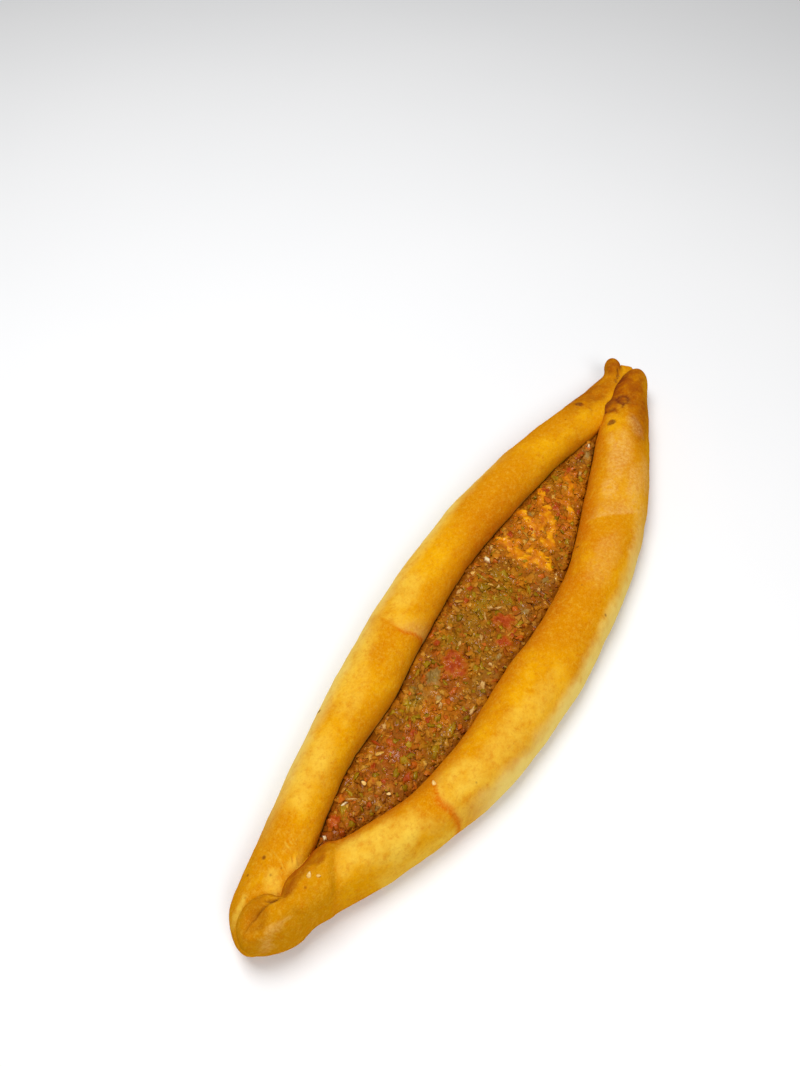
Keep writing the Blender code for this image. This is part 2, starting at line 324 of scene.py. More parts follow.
def dough_sheet(name):
    """The flat sheet under the filling."""
    x = np.linspace(*SHEET_ENDS, SHEET_STATIONS)
    low = through(RIGHT_RIM["outer"], x) + SHEET_INSET
    high = through(LEFT_RIM["outer"], x) - SHEET_INSET
    flat = np.zeros_like(x)
    ring = [(low, flat + SHEET_THICK), (low, flat + SHEET_CHAMFER), (low + SHEET_CHAMFER, flat),
            (high - SHEET_CHAMFER, flat), (high, flat + SHEET_CHAMFER), (high, flat + SHEET_THICK)]
    points = np.stack([np.stack([x, y, z], -1) for y, z in ring], 1).reshape(-1, 3)
    n, rows = len(ring), len(x)
    faces = grid_faces(rows, n) + [tuple(range(n)), tuple(range(rows * n - n, rows * n))]
    return doughy(show(name, new_mesh(name, points, faces)), SHEET)


def bud(name):
    """The small pinched bud on the left rim's far tip."""
    ball = bmesh.new()
    bmesh.ops.create_uvsphere(ball, u_segments=44, v_segments=28, radius=1)
    turn = Matrix.Rotation(math.radians(BUD_TURN), 3, "Z")
    for v in ball.verts:
        v.co = Vector(BUD_CENTRE) + turn @ (v.co * Vector(BUD_RADII))
    mesh = bpy.data.meshes.new(name)
    ball.to_mesh(mesh)
    ball.free()
    return doughy(show(name, mesh), BUD)


def baked(obj):
    """The object's mesh as its modifiers leave it."""
    view = bpy.context.evaluated_depsgraph_get()
    return bpy.data.meshes.new_from_object(obj.evaluated_get(view))


def joined_dough():
    """The sheet, both rims and the bud as one closed skin."""
    base = dough_sheet("dough_sheet")
    rolls = [rim_roll("left_roll", LEFT_RIM, LEFT), rim_roll("right_roll", RIGHT_RIM, RIGHT),
             bud("bud_roll")]
    for roll in rolls:
        step = base.modifiers.new(roll.name, "BOOLEAN")
        step.operation, step.solver, step.object = "UNION", "EXACT", roll
    bpy.context.view_layer.update()
    mesh = baked(base)
    for obj in (base, *rolls):
        bpy.data.objects.remove(obj)
    return mesh


# ---------------------------------------------------------------------------------------------
# Folds of the crust
# ---------------------------------------------------------------------------------------------

# Lines in the plan along which dough overlaps, is creased or stained.
BAND_EDGE = [(-144, 6), (-148, 3.4), (-151, 1), (-154.6, -1.4), (-159.8, -5), (-164.5, -7.2),
             (-170, -8), (-176, -8.2)]
SPIRAL = [(-179.4, 12), (-181.6, 13.4), (-184.1, 14.8), (-186.9, 16.3), (-189, 17.2), (-191.5, 17)]
SLIT = [(-181.4, 16), (-180.8, 14), (-179.6, 12.2)]
RIDGE = [(-198, 15), (-194.6, 10.4), (-188.2, 7.6), (-183.7, 6.6), (-178, 4.6)]
BOWL_ARC = [(-193, 19.6), (-194.8, 16.8), (-194, 13.8), (-191.4, 12)]
LEFT_CREASE = [(-37, 23.6), (-38.4, 25), (-39.2, 26.9), (-40.6, 29), (-42.3, 31.6), (-42.4, 35),
               (-41.7, 38.4), (-41, 42.4)]
DRIP = [(-102, -19.6), (-104.5, -21.4), (-106.4, -23.2), (-108.7, -25.5), (-109.1, -28.4),
        (-108.8, -31.5), (-109.6, -34), (-109.8, -36.4)]
LUMP_CREASE = [(155.2, 5), (155.4, 2.4), (156.4, -0.6)]
SCORCH_RING = [(165.4, 1.4), (162.6, -0.8), (162.4, -4), (165, -6), (168.6, -5.2), (170, -2.4),
               (168.8, 0.8), (166.6, 1.6)]
SCORCH_TAIL = [(162.4, -4), (159.2, -4.6)]
FAR_CREASES = [[(196, 11.6), (193.6, 9.4)], [(189.4, 10.4), (187, 8.8)],
               [(192.8, 10.6), (191, 9.4)]]
FLOUR_EDGE = [(72, -21), (75.9, -27.1), (83, -35.5), (91.5, -43.6)]

# The knob and the band: heights and depths, reaches and widths.
RIDGE_HEIGHT, RIDGE_WIDTH = 0.9, 3.2
BOWL_CENTRE, BOWL_RADIUS, BOWL_DEPTH = (-189.8, 16.4), 7.4, 3.0
DIMPLE, DIMPLE_RADIUS, DIMPLE_DEPTH = (-190.8, 17.4), 1.6, 1.1
SPIRAL_DEPTH, SPIRAL_REACH = 1.5, 2.6
BAND_DEPTH, BAND_REACH, BAND_LIP = 0.9, 5, 1.3
CREASE_DEPTH, PUCKER_HEIGHT = 0.45, 0.45
WRINKLED, WRINKLE_SPACING = ((-163, 20), (14, 11), 15), 1.9
# Unevenness of the skin: height, length and seed of its lumps.
SKIN_LUMPS = [(0.34, 11, 3.1), (0.15, 4.5, 7.7), (0.06, 1.9, 2.3)]

# Grooves in the skin: line, depth, width.
KNOB_GROOVES = [(SLIT, 2.0, 0.9), (BOWL_ARC, 0.8, 1.0)]
RIGHT_GROOVES = [(LUMP_CREASE, 0.8, 0.9), (DRIP, 0.35, 1.0), (SCORCH_RING, 0.5, 0.8),
                 (SCORCH_TAIL, 0.4, 0.6)]
TIP_GROOVES = [(line, 0.8, 0.7) for line in FAR_CREASES]


def tuck(x, y, line, depth, reach, lip=0.7):
    """A fold along a line of points, whose right-hand side dips under its left-hand side."""
    off = beside(x, y, line)
    ends = [np.hypot(x - line[k][0], y - line[k][1]) for k in (0, -1)]
    whole = smooth(np.minimum(*ends), 0, 2.5)
    return -depth * np.where(off < 0, np.exp(off / reach), np.exp(-(off / lip) ** 2)) * whole


def knob_relief(x, y):
    """The rolled-up near end of the right rim: a ridge round a bowl, with a tongue tucked in."""
    bowl = np.hypot(x - BOWL_CENTRE[0], y - BOWL_CENTRE[1]) / BOWL_RADIUS
    dimple = np.hypot(x - DIMPLE[0], y - DIMPLE[1]) / DIMPLE_RADIUS
    rise = RIDGE_HEIGHT * stroke(x, y, RIDGE, RIDGE_WIDTH)
    rise = rise - BOWL_DEPTH * np.clip(1 - bowl ** 2, 0, None) ** 2
    rise = rise + tuck(x, y, SPIRAL, SPIRAL_DEPTH, SPIRAL_REACH)
    return rise - DIMPLE_DEPTH * np.exp(-dimple ** 2) - strokes(x, y, KNOB_GROOVES)


def wrinkles(x, y):
    """Short puckers across the left rim beside the knob, from -1 to 1."""
    wave = x * 0.94 - y * 0.34 + 2.2 * uneven(x, y, 0, 7, 1.9)
    broken = smooth(uneven(x, y, 0, 3.4, 4.2), -0.1, 0.5)
    return oval(x, y, *WRINKLED) * broken * np.sin(wave * 2 * np.pi / WRINKLE_SPACING)


def crust_relief(x, y, z, dough):
    """How far the skin stands out from its plain loft."""
    high = smooth(z, 14, 20)
    folds = knob_relief(x, y) + tuck(x, y, BAND_EDGE[::-1], BAND_DEPTH, BAND_REACH, BAND_LIP)
    folds = folds - strokes(x, y, RIGHT_GROOVES)
    creases = PUCKER_HEIGHT * wrinkles(x, y) - CREASE_DEPTH * stroke(x, y, LEFT_CREASE, 1.0)
    tip = strokes(x, y, TIP_GROOVES) * smooth(z, 8, 14)
    rise = lumps(x, y, z, SKIN_LUMPS) + np.where(dough == RIGHT, folds * high, 0)
    rise = rise + np.where(dough == LEFT, creases * high, 0)
    rise = rise - np.where((dough == LEFT) | (dough == BUD), tip, 0)
    return rise * smooth(z, 0.3, 3)


# ---------------------------------------------------------------------------------------------
# Browning of the crust, with painted highlights and shade
# ---------------------------------------------------------------------------------------------

# Colour patches: centre, reach, turn in degrees, strength.
LEFT_ORANGE = [((-192, 24), (26, 16), 0, 0.6), ((-158, 30), (22, 14), 12, 0.8),
               ((-98, 43), (12, 9), 0, 0.7), ((-84, 27), (18, 5), 0, 0.2),
               ((-46, 36), (7, 12), 0, 0.6), ((60, 36), (56, 18), -8, 0.9),
               ((125, 32), (40, 13), -18, 0.9), ((168, 18), (36, 14), -14, 1.0)]
# The patch at (-189, 26) is a painted highlight on the left rim's edge beside the knob.
LEFT_PALE = [((-125, 33), (26, 12), 10, 0.8), ((-68, 47), (36, 11), 6, 0.8),
             ((-175, 18), (8, 5), 40, 0.7), ((-189, 26), (9, 2.6), 0, 0.9),
             ((-164, 15), (9, 4), 10, 0.6), ((-22, 42), (20, 9), 0, 0.7),
             ((16, 50), (50, 7), 0, 0.5), ((-84, 36), (20, 8), 6, 0.6)]
RIGHT_ORANGE = [((14, -38), (46, 20), 0, 1.0), ((84, -15), (36, 7), 20, 1.0),
                ((-34, -42), (14, 8), 10, 0.6), ((66, -36), (40, 16), 8, 0.8),
                ((125, -26), (34, 14), 18, 0.7), ((-116, -24), (13, 11), -20, 0.8),
                ((-120, -8), (34, 6), -30, 0.6), ((-188, 17), (10, 8), 0, 0.9),
                ((176, -4), (36, 14), 20, 1.0)]
RIGHT_PALE = [((-142, -8), (20, 9), -28, 0.9), ((-134, -16), (24, 12), -28, 1.0),
              ((-94, -30), (16, 11), -20, 0.9), ((-60, -40), (50, 9), -10, 0.6),
              ((-84, -38), (20, 9), -14, 0.5), ((-120, -27), (14, 6), -28, 0.5)]
# The patch at (-188, 7.8) is a painted highlight on the crest of the knob's ridge.
FLOURY = [((72, -50), (36, 6), 18, 0.9), ((97, -22), (12, 6), 20, 0.9),
          ((120, -36), (20, 6), 20, 0.8), ((132, -8), (8, 4), 30, 0.9),
          ((150, -16), (10, 6), 50, 0.6), ((-188, 7.8), (12, 3.2), -18, 0.65),
          ((122, -18), (26, 9), 14, 0.9), ((106, -34), (24, 7), 14, 0.8),
          ((50, -38), (26, 9), 0, 0.4)]
BROWN_RIGHT = [((184, 1), (38, 15), 6, 1.0), ((164, 3), (15, 10), 0, 1.1),
               ((206, 0), (9, 9), 0, 1.0), ((166, -13), (44, 10), 22, 1.0),
               ((-156, 10), (12, 9), -25, 0.9), ((-167, 13), (14, 9), -6, 1.0),
               ((-189, 17), (11, 9), 0, 0.5), ((180, 6), (24, 9), 0, 1.3),
               ((160, 4), (12, 9), 0, 1.1)]
BROWN_LEFT = [((200, 16.5), (13, 8.5), 30, 1.0), ((153.6, 15.5), (1.5, 5), 0, 0.6),
              ((168, 18), (36, 12), -12, 0.7), ((176, 24), (34, 7), -8, 0.9)]
SCORCHED_RIGHT = [((166.2, -2.4), (5, 4.6), 0, 0.5), ((145.4, -3.7), (3, 2.8), 0, 1.9),
                  ((186, 6.8), (20, 4), 0, 0.7), ((163, 5.6), (10, 4.4), 0, 0.75)]
SCORCHED_LEFT = [((153.4, 20.3), (2.6, 3.4), 0, 1.9)]
# How far from the filling oil has soaked into the rims: (along, reach).
OILED_REACH = [(-202, 1), (-160, 3), (-140, 6), (-100, 8), (-60, 8), (0, 10), (60, 13),
               (100, 9), (140, 4), (165, 1.5), (208, 1)]

# Dark marks along lines: line, strength, width.
# Painted shade along the creases and round the knob's bowl; the scorch ring and its tail are
# scorched.
RIGHT_SCORCH_AND_CREASE_SHADE = [(SCORCH_RING, 0.9, 1.1), (SCORCH_TAIL, 0.8, 0.9), (LUMP_CREASE, 0.8, 0.9)]
KNOB_SHADE_LINES = [(SPIRAL, 1.0, 0.8), (BOWL_ARC, 0.7, 0.9)]
TIP_CREASE_SHADE = [(line, 0.9, 0.7) for line in FAR_CREASES]
# The drip of oil: thin at first, then broad.
DRIP_RUNS = [(DRIP[:4], 0.75, 0.8), (DRIP[3:], 1.1, 1.9)]
# How the outlines of the patches wander: height, length, seed.
PATCH_WARP = [(4.5, 9, 11.3), (2.2, 3, 5.9)]


def beside_stain(x, y, line, reach):
    """Oil that crept from a line towards its right-hand side, and the pale skin on its left."""
    off = beside(x, y, line)
    crept = np.where(off < 0, np.exp(off / reach), np.exp(-(off / 0.6) ** 2))
    return crept, np.exp(-(off / 6) ** 2) * (off > 0)


class Skin:
    """Places on the skin of one dough, with what its colours depend on."""

    def __init__(self, x, y, z, dough):
        self.x, self.y, self.z = x, y, z
        self.right, self.left = dough == RIGHT, dough == LEFT
        self.warp = lumps(x, y, z, PATCH_WARP)
        left_outer, left_inner = edges(LEFT_RIM, x)
        right_outer, right_inner = edges(RIGHT_RIM, x)
        self.from_filling = self.either(right_inner - y, y - left_inner)
        self.from_outside = self.either(y - right_outer, left_outer - y)
        self.into_band = -beside(x, y, BAND_EDGE)
        self.banded = smooth(self.into_band, -0.6, 1.6) * (1 - smooth(x, -153, -143)) * self.right
        self.drip, self.past_drip = beside_stain(x, y, DRIP, 2.2)
        self.crease, self.past_crease = beside_stain(x, y, LEFT_CREASE[::-1], 2.4)
        # Painted highlight and shade of the puckers' relief, from -1 to 1.
        self.pucker_shading = self.either(0, wrinkles(x, y))

    def either(self, on_right, on_left):
        """One value on the right rim and another on all else."""
        return np.where(self.right, on_right, on_left)

    def patched(self, right_table, left_table, warp_x=1.0, warp_y=0.7):
        """The colour patches of each place's rim, with uneven outlines."""
        x, y = self.x + warp_x * self.warp, self.y + warp_y * self.warp
        return self.either(patches(x, y, right_table), patches(x, y, left_table))


# Each function below gives one mask of the skin, from 0 to 1: where it has that colour, or painted
# light or shade.


def oiled(skin):
    """Oil that soaked into the rims from the filling."""
    x = skin.x
    reach = through(OILED_REACH, x) * (1 + 0.5 * uneven(x, skin.y, skin.z, 14, 2.2))
    soaked = 1 - smooth(skin.from_filling + 0.6 * skin.warp, 0.1 * reach, 1.3 * reach)
    soaked = soaked * (1 - smooth(x, 150, 175)) * smooth(x, -190, -165)
    return soaked * skin.either(1, 0.1 + 0.9 * np.exp(-((x - 30) / 46) ** 2))


def pale(skin):
    """Lighter patches, the skin past the drip and the crease, and painted highlights on the
    puckers and beside the knob.
    """
    x, low = skin.x, 1 - smooth(skin.z + 0.6 * skin.warp, 11, 22)
    patched = skin.patched(RIGHT_PALE, LEFT_PALE) * skin.either(1 - 0.7 * skin.drip, 1)
    past = skin.either(0.9 * skin.past_drip * smooth(skin.y, -42, -36), 0.5 * skin.past_crease)
    foot = skin.either(0.9 * smooth(x, -152, -146) * (1 - smooth(x, -116, -102)) * low, 0)
    return np.maximum.reduce([patched, past, foot, 0.8 * skin.pucker_shading])


def cream(skin):
    """The foot of the rims, creamier towards the bottom and the outer edge."""
    x, outside = skin.x, skin.from_outside + 0.4 * skin.warp
    foot = skin.either(1 - smooth(outside, 0, 7.2), 0.9 * (1 - smooth(outside, 0, 10)))
    foot = np.maximum(foot, 0.9 * (1 - smooth(skin.z + 0.5 * skin.warp, 2, 12)))
    start = skin.either(smooth(x, -112, -84), smooth(x, -170, -130))
    return foot * start * (1 - smooth(x, 60, 110)) * (1 - skin.banded)


def orange(skin):
    """Deeper gold: patches, oil beside the crease, and painted shade beside the band and between
    the puckers.
    """
    # Painted shade under the band's overlapping edge.
    band_shadow = np.exp(-np.clip(-skin.into_band, 0, None) / 2.6) * (skin.into_band < 0.4)
    band_shadow = band_shadow * (skin.x < -138)
    by_crease = beside_stain(skin.x, skin.y, LEFT_CREASE[::-1], 9)[0]
    return np.maximum.reduce([skin.patched(RIGHT_ORANGE, LEFT_ORANGE), -0.8 * skin.pucker_shading,
                              0.8 * skin.either(band_shadow, by_crease)])


def browned(skin):
    """Brown patches, and the right rim's inner edge at the far end."""
    far_edge = np.exp(-np.clip(skin.from_filling, 0, None) / 3.0) * smooth(skin.x, 148, 158)
    return np.maximum.reduce([skin.patched(BROWN_RIGHT, BROWN_LEFT), 0.15 * skin.banded,
                              0.9 * far_edge * skin.right])


def floury(skin):
    """Flour on the right rim, sharp at one edge, with a painted highlight on the knob's ridge, and
    a dusting past the left rim's crease.
    """
    x, past = skin.x, beside(skin.x, skin.y, FLOUR_EDGE)
    swept = np.exp(-np.clip(past, 0, None) / 9) * smooth(past, -0.3, 0.8) * (x > 60) * (x < 130)
    stops = np.where(x > 40, smooth(skin.from_filling + 0.6 * skin.warp, 3, 9.5), 1)
    dusted = 0.65 * skin.past_crease * (1 - smooth(skin.y, 30, 40)) * skin.left
    return skin.either(np.maximum(skin.patched(FLOURY, []), swept) * stops, dusted)


def stained_red(skin):
    """The drip of red oil, and oil in the left rim's crease."""
    run = 0.4 * skin.drip + strokes(skin.x, skin.y, DRIP_RUNS)
    crack = stroke(skin.x, skin.y, LEFT_CREASE, 0.8) * (1 - smooth(skin.y, 31, 40))
    return np.clip(skin.either(run, (0.25 * skin.crease + crack) * skin.left), 0, 1)


def scorched(skin):
    """Spots and edges that the oven nearly burnt, and painted shade in creases, the slit and the
    knob's hollows.
    """
    x, y, z = skin.x, skin.y, skin.z
    # Painted shade in the knob's spiral, its bowl's arc and its dimple.
    hollow = np.clip(strokes(x, y, KNOB_SHADE_LINES) + oval(x, y, DIMPLE, (2.6, 2.2)), 0, 1)
    # The scorch ring and tail, and painted shade in the lump's crease and the slit.
    marks = strokes(x, y, RIGHT_SCORCH_AND_CREASE_SHADE) + 0.9 * stroke(x, y, SLIT, 0.7) * smooth(z, 18, 22)
    # Painted shade in the far tip's creases.
    tip_marks = strokes(x, y, TIP_CREASE_SHADE) * smooth(z, 10, 14)
    spots = skin.patched(SCORCHED_RIGHT, SCORCHED_LEFT, 0.25, 0.2)
    return np.clip(spots + skin.either(marks + 0.35 * hollow, tip_marks), 0, 1)


def banded(skin):
    """The wrapped band at the knob."""
    return skin.banded


MASKS = {"oiled": oiled, "pale": pale, "cream": cream, "orange": orange, "browned": browned,
         "floury": floury, "stained": stained_red, "scorched": scorched, "banded": banded}


def coloured(mesh, spots, corner_vertex, corner_dough):
    """Give the skin its masks, from 0 to 1, sharp where two doughs meet."""
    doughs = {kind: Skin(*spots.T, np.full(len(spots), kind)) for kind in (LEFT, RIGHT, BUD)}
    for name, mask in MASKS.items():
        values = np.zeros(len(corner_vertex))
        for kind, skin in doughs.items():
            here = corner_dough == kind
            values[here] = mask(skin)[corner_vertex[here]]
        mark(mesh, name, values, "CORNER")


# ---- the finished skin ----

BUD_NEAR = 22         # how far from the bud's middle its blending can reach
WEB_PULL = 2.2
FLAT_BELOW = 1e-4


def softened(spots, links, share, rounds=40):
    """Points drawn towards the middle of their neighbours, each by its share from 0 to 1."""
    a, b = links.T
    count = np.bincount(np.concatenate([a, b]), minlength=len(spots))[:, None]
    for _ in range(rounds):
        total = [np.bincount(a, spots[b, k], len(spots)) + np.bincount(b, spots[a, k], len(spots))
                 for k in range(3)]
        spots = spots + share[:, None] * (np.stack(total, -1) / count - spots)
    return spots


def blended_bud(mesh, spots, dough):
    """The bud run smoothly into the left rim, except where it meets the right one."""
    links = numbers(mesh.edges, "vertices", 2, int)
    share = np.zeros(len(spots))
    near = np.hypot(spots[:, 0] - BUD_CENTRE[0], spots[:, 1] - BUD_CENTRE[1]) < BUD_NEAR
    for kind, other in ((LEFT, BUD), (BUD, LEFT)):
        seam = kdtree.KDTree(int((near & (dough == other)).sum()))
        for k in np.flatnonzero(near & (dough == other)):
            seam.insert(spots[k], k)
        seam.balance()
        for k in np.flatnonzero(near & (dough == kind)):
            share[k] = 1 - float(smooth(seam.find(spots[k])[2], 1.0, 4.5))
    from_right_rim = spots[:, 1] - edges(RIGHT_RIM, spots[:, 0])[1]
    share *= smooth(from_right_rim, 0.5, 2.5) * smooth(spots[:, 2], 5, 9)
    return softened(spots, links, 0.6 * share)


def pulled_web(spots, dough):
    """The thin web at the far tip, pulled out straight between the bud and the right rim."""
    x, y, _ = spots.T
    pull = WEB_PULL * smooth(x, 201, 207) * smooth(y, 3.5, 6.5) * (1 - smooth(y, 13.5, 17))
    return spots + np.stack([pull * (dough == LEFT), 0 * x, 0 * x], -1)


def crust_skin():
    """The whole crust, with its folds and its browning."""
    mesh = joined_dough()
    corner_vertex = numbers(mesh.loops, "vertex_index", 1, int)
    corner_dough = np.repeat(numbers(mesh.polygons, "material_index", 1, int),
                             numbers(mesh.polygons, "loop_total", 1, int))
    dough = np.zeros(len(mesh.vertices), int)
    dough[corner_vertex] = corner_dough
    spots = pulled_web(blended_bud(mesh, numbers(mesh.vertices, "co", 3), dough), dough)
    mesh.vertices.foreach_set("co", spots.ravel())
    mesh.update()
    outwards = numbers(mesh.vertex_normals, "vector", 3)
    moved = spots + outwards * crust_relief(*spots.T, dough)[:, None]
    moved[:, 2] = np.maximum(moved[:, 2], 0)
    flat = spots[:, 2] <= FLAT_BELOW
    moved[flat] = spots[flat]
    mesh.vertices.foreach_set("co", moved.ravel())
    coloured(mesh, spots, corner_vertex, corner_dough)
    mesh.materials.clear()
    mesh.polygons.foreach_set("material_index", np.zeros(len(mesh.polygons), int))
    mesh.shade_smooth()
    return mesh


# ---------------------------------------------------------------------------------------------
# Filling
# ---------------------------------------------------------------------------------------------

FILLING_ENDS = (-150.5, 143)
FILLING_TOP, FILLING_HEAP = 12, 1.5
FILLING_RELIEF, FILLING_GRAIN = 0.8, 13
CORE_DROP = 0.75       # how far the core's top lies below the filling's, under the granules
# Lumps of mince in the core: length, height, share of the tone.
LUMP_SIZES = [(4.4, 0.8, 0.65), (2.2, 0.3, 0.35)]
CORE_FOOT = 4.85
CORE_STEP = 0.45
CORE_COLUMNS = 96
BRIM_GAP = 0.3
BRIM_DIP, BRIM_REACH = 0.8, 1.4
LUMP_WANDER, LUMP_EDGE = 1.2, 0.85
BARE_BRIM = 0.9, 1.6       # how far from the rims the granules start, and are at their densest
UNDER_FILM = 0.55          # the share of granules that is left out under melted cheese


def brims(x):
    """How far across the filling reaches at each side, up to the rims."""
    found = []
    for rim, way in ((RIGHT_RIM, 1), (LEFT_RIM, -1)):
        edge = edges(rim, x)[1]
        gap = BRIM_GAP + LUMP_HEIGHT * uneven(x, edge, INNER_BULGE, LUMP_LENGTH)
        found.append(edge + way * gap)
    return found


def filling_top(x, y):
    """Height of the solid filling's uneven top, on which the toppings lie."""
    low, high = edges(RIGHT_RIM, x)[1], edges(LEFT_RIM, x)[1]
    across = (2 * y - low - high) / np.maximum(high - low, 1)
    heap = FILLING_HEAP * np.clip(1 - across * across, 0, None)
    return FILLING_TOP + heap + FILLING_RELIEF * uneven(x, y, 0, FILLING_GRAIN)


def lumpy(x, y):
    """Lumps of mince pressed together: their relief in millimetres, and a tone for every lump."""
    wx = x + LUMP_WANDER * uneven(x, y, 0, 2.3, 5.5)
    wy = y + LUMP_WANDER * uneven(x, y, 9, 2.3, 2.8)
    relief, tone = np.zeros(x.shape), np.zeros(x.shape)
    for length, height, share in LUMP_SIZES:
        spots = np.stack([wx, wy, np.full(x.shape, length)], -1).reshape(-1, 3) / length
        found = [noise.voronoi(Vector(s)) for s in spots]
        away = np.array([f[0][0] for f in found]).reshape(x.shape)
        shade = np.array([noise.cell(f[1][0] * 7.3) for f in found]).reshape(x.shape)
        dome = np.sqrt(np.clip(1 - (away / LUMP_EDGE) ** 2, 0, None))
        relief = relief + height * (0.4 + shade) * dome
        tone = tone + share * shade
    return relief, tone


def core_top(x, y):
    """The relief under the granules: clumps of mince with hollows between them."""
    low, high = brims(x)
    from_brim = np.minimum(y - low, high - y)
    dip = BRIM_DIP * np.exp(-np.clip(from_brim, 0, None) / BRIM_REACH)
    return filling_top(x, y) - CORE_DROP + 0.7 * uneven(x, y, 0, 6, 8.3) - dip


# Strands of melted cheese that have run together: points in the plan, and half the width.
STRANDS = {
    "cheese_patch_1": [([(56, 3), (61, 8), (64, 13), (66.5, 16.5)], 2.7),
                       ([(60, 4), (66, 3), (74, 4.5)], 3.4),
                       ([(53, -8), (58, -4.5), (66, -3), (70, 0)], 2.4),
                       ([(54, -2), (51, -7)], 2.2), ([(77, 10), (81, 11), (86, 13.6)], 1.9),
                       ([(84, 2), (85, -4), (80, -9), (75, -9.5)], 1.8),
                       ([(92, -2), (98, 0), (101, 5)], 1.8)],
    "cheese_patch_2": [([(37, 4), (40, 9), (43, 13), (42, 18)], 3.0), ([(40, 9), (46, 9)], 1.8)],
    "cheese_patch_3": [([(37, 4), (38, -3), (39, -12)], 3.4), ([(43, 0), (43, -10)], 3.0),
                       ([(33, -1), (37, -1)], 2.0)],
}
# Where fat and vegetables have stained the mince: centre, reach, turn, strength.
STAINS = {
    "cheesy": [((60, 2), (30, 24), 0, 1.0), ((40, 2), (14, 22), 0, 0.9),
               ((98, 0), (22, 14), 0, 0.85), ((-66, -2), (13, 12), 0, 0.9),
               ((-37, -3), (9, 6), 0, 0.5), ((24, -3), (9, 12), 0, 0.6),
               ((-4, 15), (7, 5), 0, 0.5)],
    "reddish": [((-39, 4), (13, 12), 0, 0.9), ((-5, -8), (11, 8), -30, 0.8),
                ((80, 2), (9, 9), 0, 0.8), ((-98, 4), (26, 16), 0, 0.55),
                ((-134, 10), (16, 9), 0, 0.6), ((-52, -2), (10, 8), 0, 0.6),
                ((54, 8), (8, 10), 0, 0.5), ((-16, -12), (8, 9), 0, 0.6),
                ((68, -9), (8, 6), 0, 0.6)],
    "greenish": [((4, 4), (22, 18), 0, 0.9), ((20, 4), (14, 16), 0, 0.9),
                 ((-22, 10), (22, 14), 0, 0.7), ((-70, 11), (14, 7), 0, 0.7),
                 ((-84, -9), (16, 6), -10, 0.6), ((99, 8), (10, 8), 0, 0.7),
                 ((-30, -8), (26, 9), 0, 0.55), ((50, -6), (9, 9), 0, 0.4),
                 ((-126, 10), (12, 7), 0, 0.5)],
    "greyish": [((-62, 10), (10, 12), 0, 0.8), ((6, -14), (9, 7), 0, 0.8),
                ((126, 1), (12, 7), 0, 0.9), ((-38, -13), (24, 6), 0, 0.6),
                ((-118, 2), (20, 8), 0, 0.4), ((30, -14), (9, 6), 0, 0.7)],
}


def film_body(x, y, name):
    """How well inside a cheese patch each place is: 1 in a strand's middle, below 0 outside."""
    best = np.full(x.shape, -1.0)
    for line, half in STRANDS[name]:
        best = np.maximum(best, 1 - (beside(x, y, line) / half) ** 2)
    return best + lumps(x, y, 0, [(0.8, 3.2, 3.3), (0.9, 1.4, 6.4)])


def grid_border(rows, columns):
    """The points round the edge of a grid of points, in order."""
    last = (rows - 1) * columns
    return [*range(0, last + 1, columns), *range(last + 1, last + columns),
            *range(last - 1, columns - 2, -columns), *range(columns - 2, 0, -1)]


def stained(mesh, x, y):
    """Give a mesh the filling's stains near each place."""
    warp = lumps(x, y, 0, [(3.5, 7, 1.1), (2.5, 2.5, 6.1)])
    for name, table in STAINS.items():
        mark(mesh, name, patches(x + warp, y - warp, table))


def filling_core():
    """The filling's core: an uneven top over a flat underside, with its stains as attributes."""
    x = np.linspace(*FILLING_ENDS, round((FILLING_ENDS[1] - FILLING_ENDS[0]) / CORE_STEP))
    low, high = (side[:, None] for side in brims(x))
    grid_y = low + (high - low) * np.linspace(0, 1, CORE_COLUMNS)
    grid_x = np.broadcast_to(x[:, None], grid_y.shape)
    relief, tone = lumpy(grid_x, grid_y)
    top = np.stack([grid_x, grid_y, core_top(grid_x, grid_y) + relief], -1).reshape(-1, 3)
    rows, n = grid_y.shape
    faces = [quad(r, k, n) for r in range(rows - 1) for k in range(n - 1)]
    border = grid_border(rows, n)
    first, length = len(top), len(border)
    faces += [(border[k], first + k, first + (k + 1) % length, border[(k + 1) % length])
              for k in range(length)]
    faces.append(tuple(first + k for k in reversed(range(length))))
    points = np.concatenate([top, top[border] * (1, 1, 0) + (0, 0, CORE_FOOT)])
    mesh = new_mesh("filling_core", points, faces)
    stained(mesh, points[:, 0], points[:, 1])
    from_brim = np.minimum(grid_y - low, high - grid_y)
    under_film = sum(smooth(film_body(grid_x, grid_y, name), -0.1, 0.4) for name in STRANDS)
    cover = smooth(from_brim, *BARE_BRIM) * np.clip(1 - UNDER_FILM * under_film, 0, 1)
    # Painted shade: darker where the lumps' relief is low, darkest on the core's sides.
    hollow = 1 - smooth(relief, 0.1, 0.9)
    for name, values, at_foot in (("cover", cover, 0), ("tone", tone, 0.5), ("hollow", hollow, 1)):
        mark(mesh, name, np.append(values.ravel(), np.full(length, at_foot)))
    mesh.shade_smooth()
    return mesh


# ---------------------------------------------------------------------------------------------
# Node trees: one wiring class serves shaders and geometry
# ---------------------------------------------------------------------------------------------

TONE_PLACES = (0.2, 0.5, 0.8)
SPECK_HEIGHT = 0.2


class Value:
    """A socket of a node tree. Sums and products of it add their Math nodes."""

    def __init__(self, wiring, socket):
        self.wiring, self.socket = wiring, socket

    def _math(self, operation, *values):
        return self.wiring.node("ShaderNodeMath", {"operation": operation},
                                dict(enumerate(values)))

    def __add__(self, other):
        return self._math("ADD", self, other)

    def __sub__(self, other):
        return self._math("SUBTRACT", self, other)

    def __rsub__(self, other):
        return self._math("SUBTRACT", other, self)

    def __mul__(self, other):
        return self._math("MULTIPLY", self, other)

    def __gt__(self, other):
        return self._math("GREATER_THAN", self, other)

    __radd__, __rmul__ = __add__, __mul__


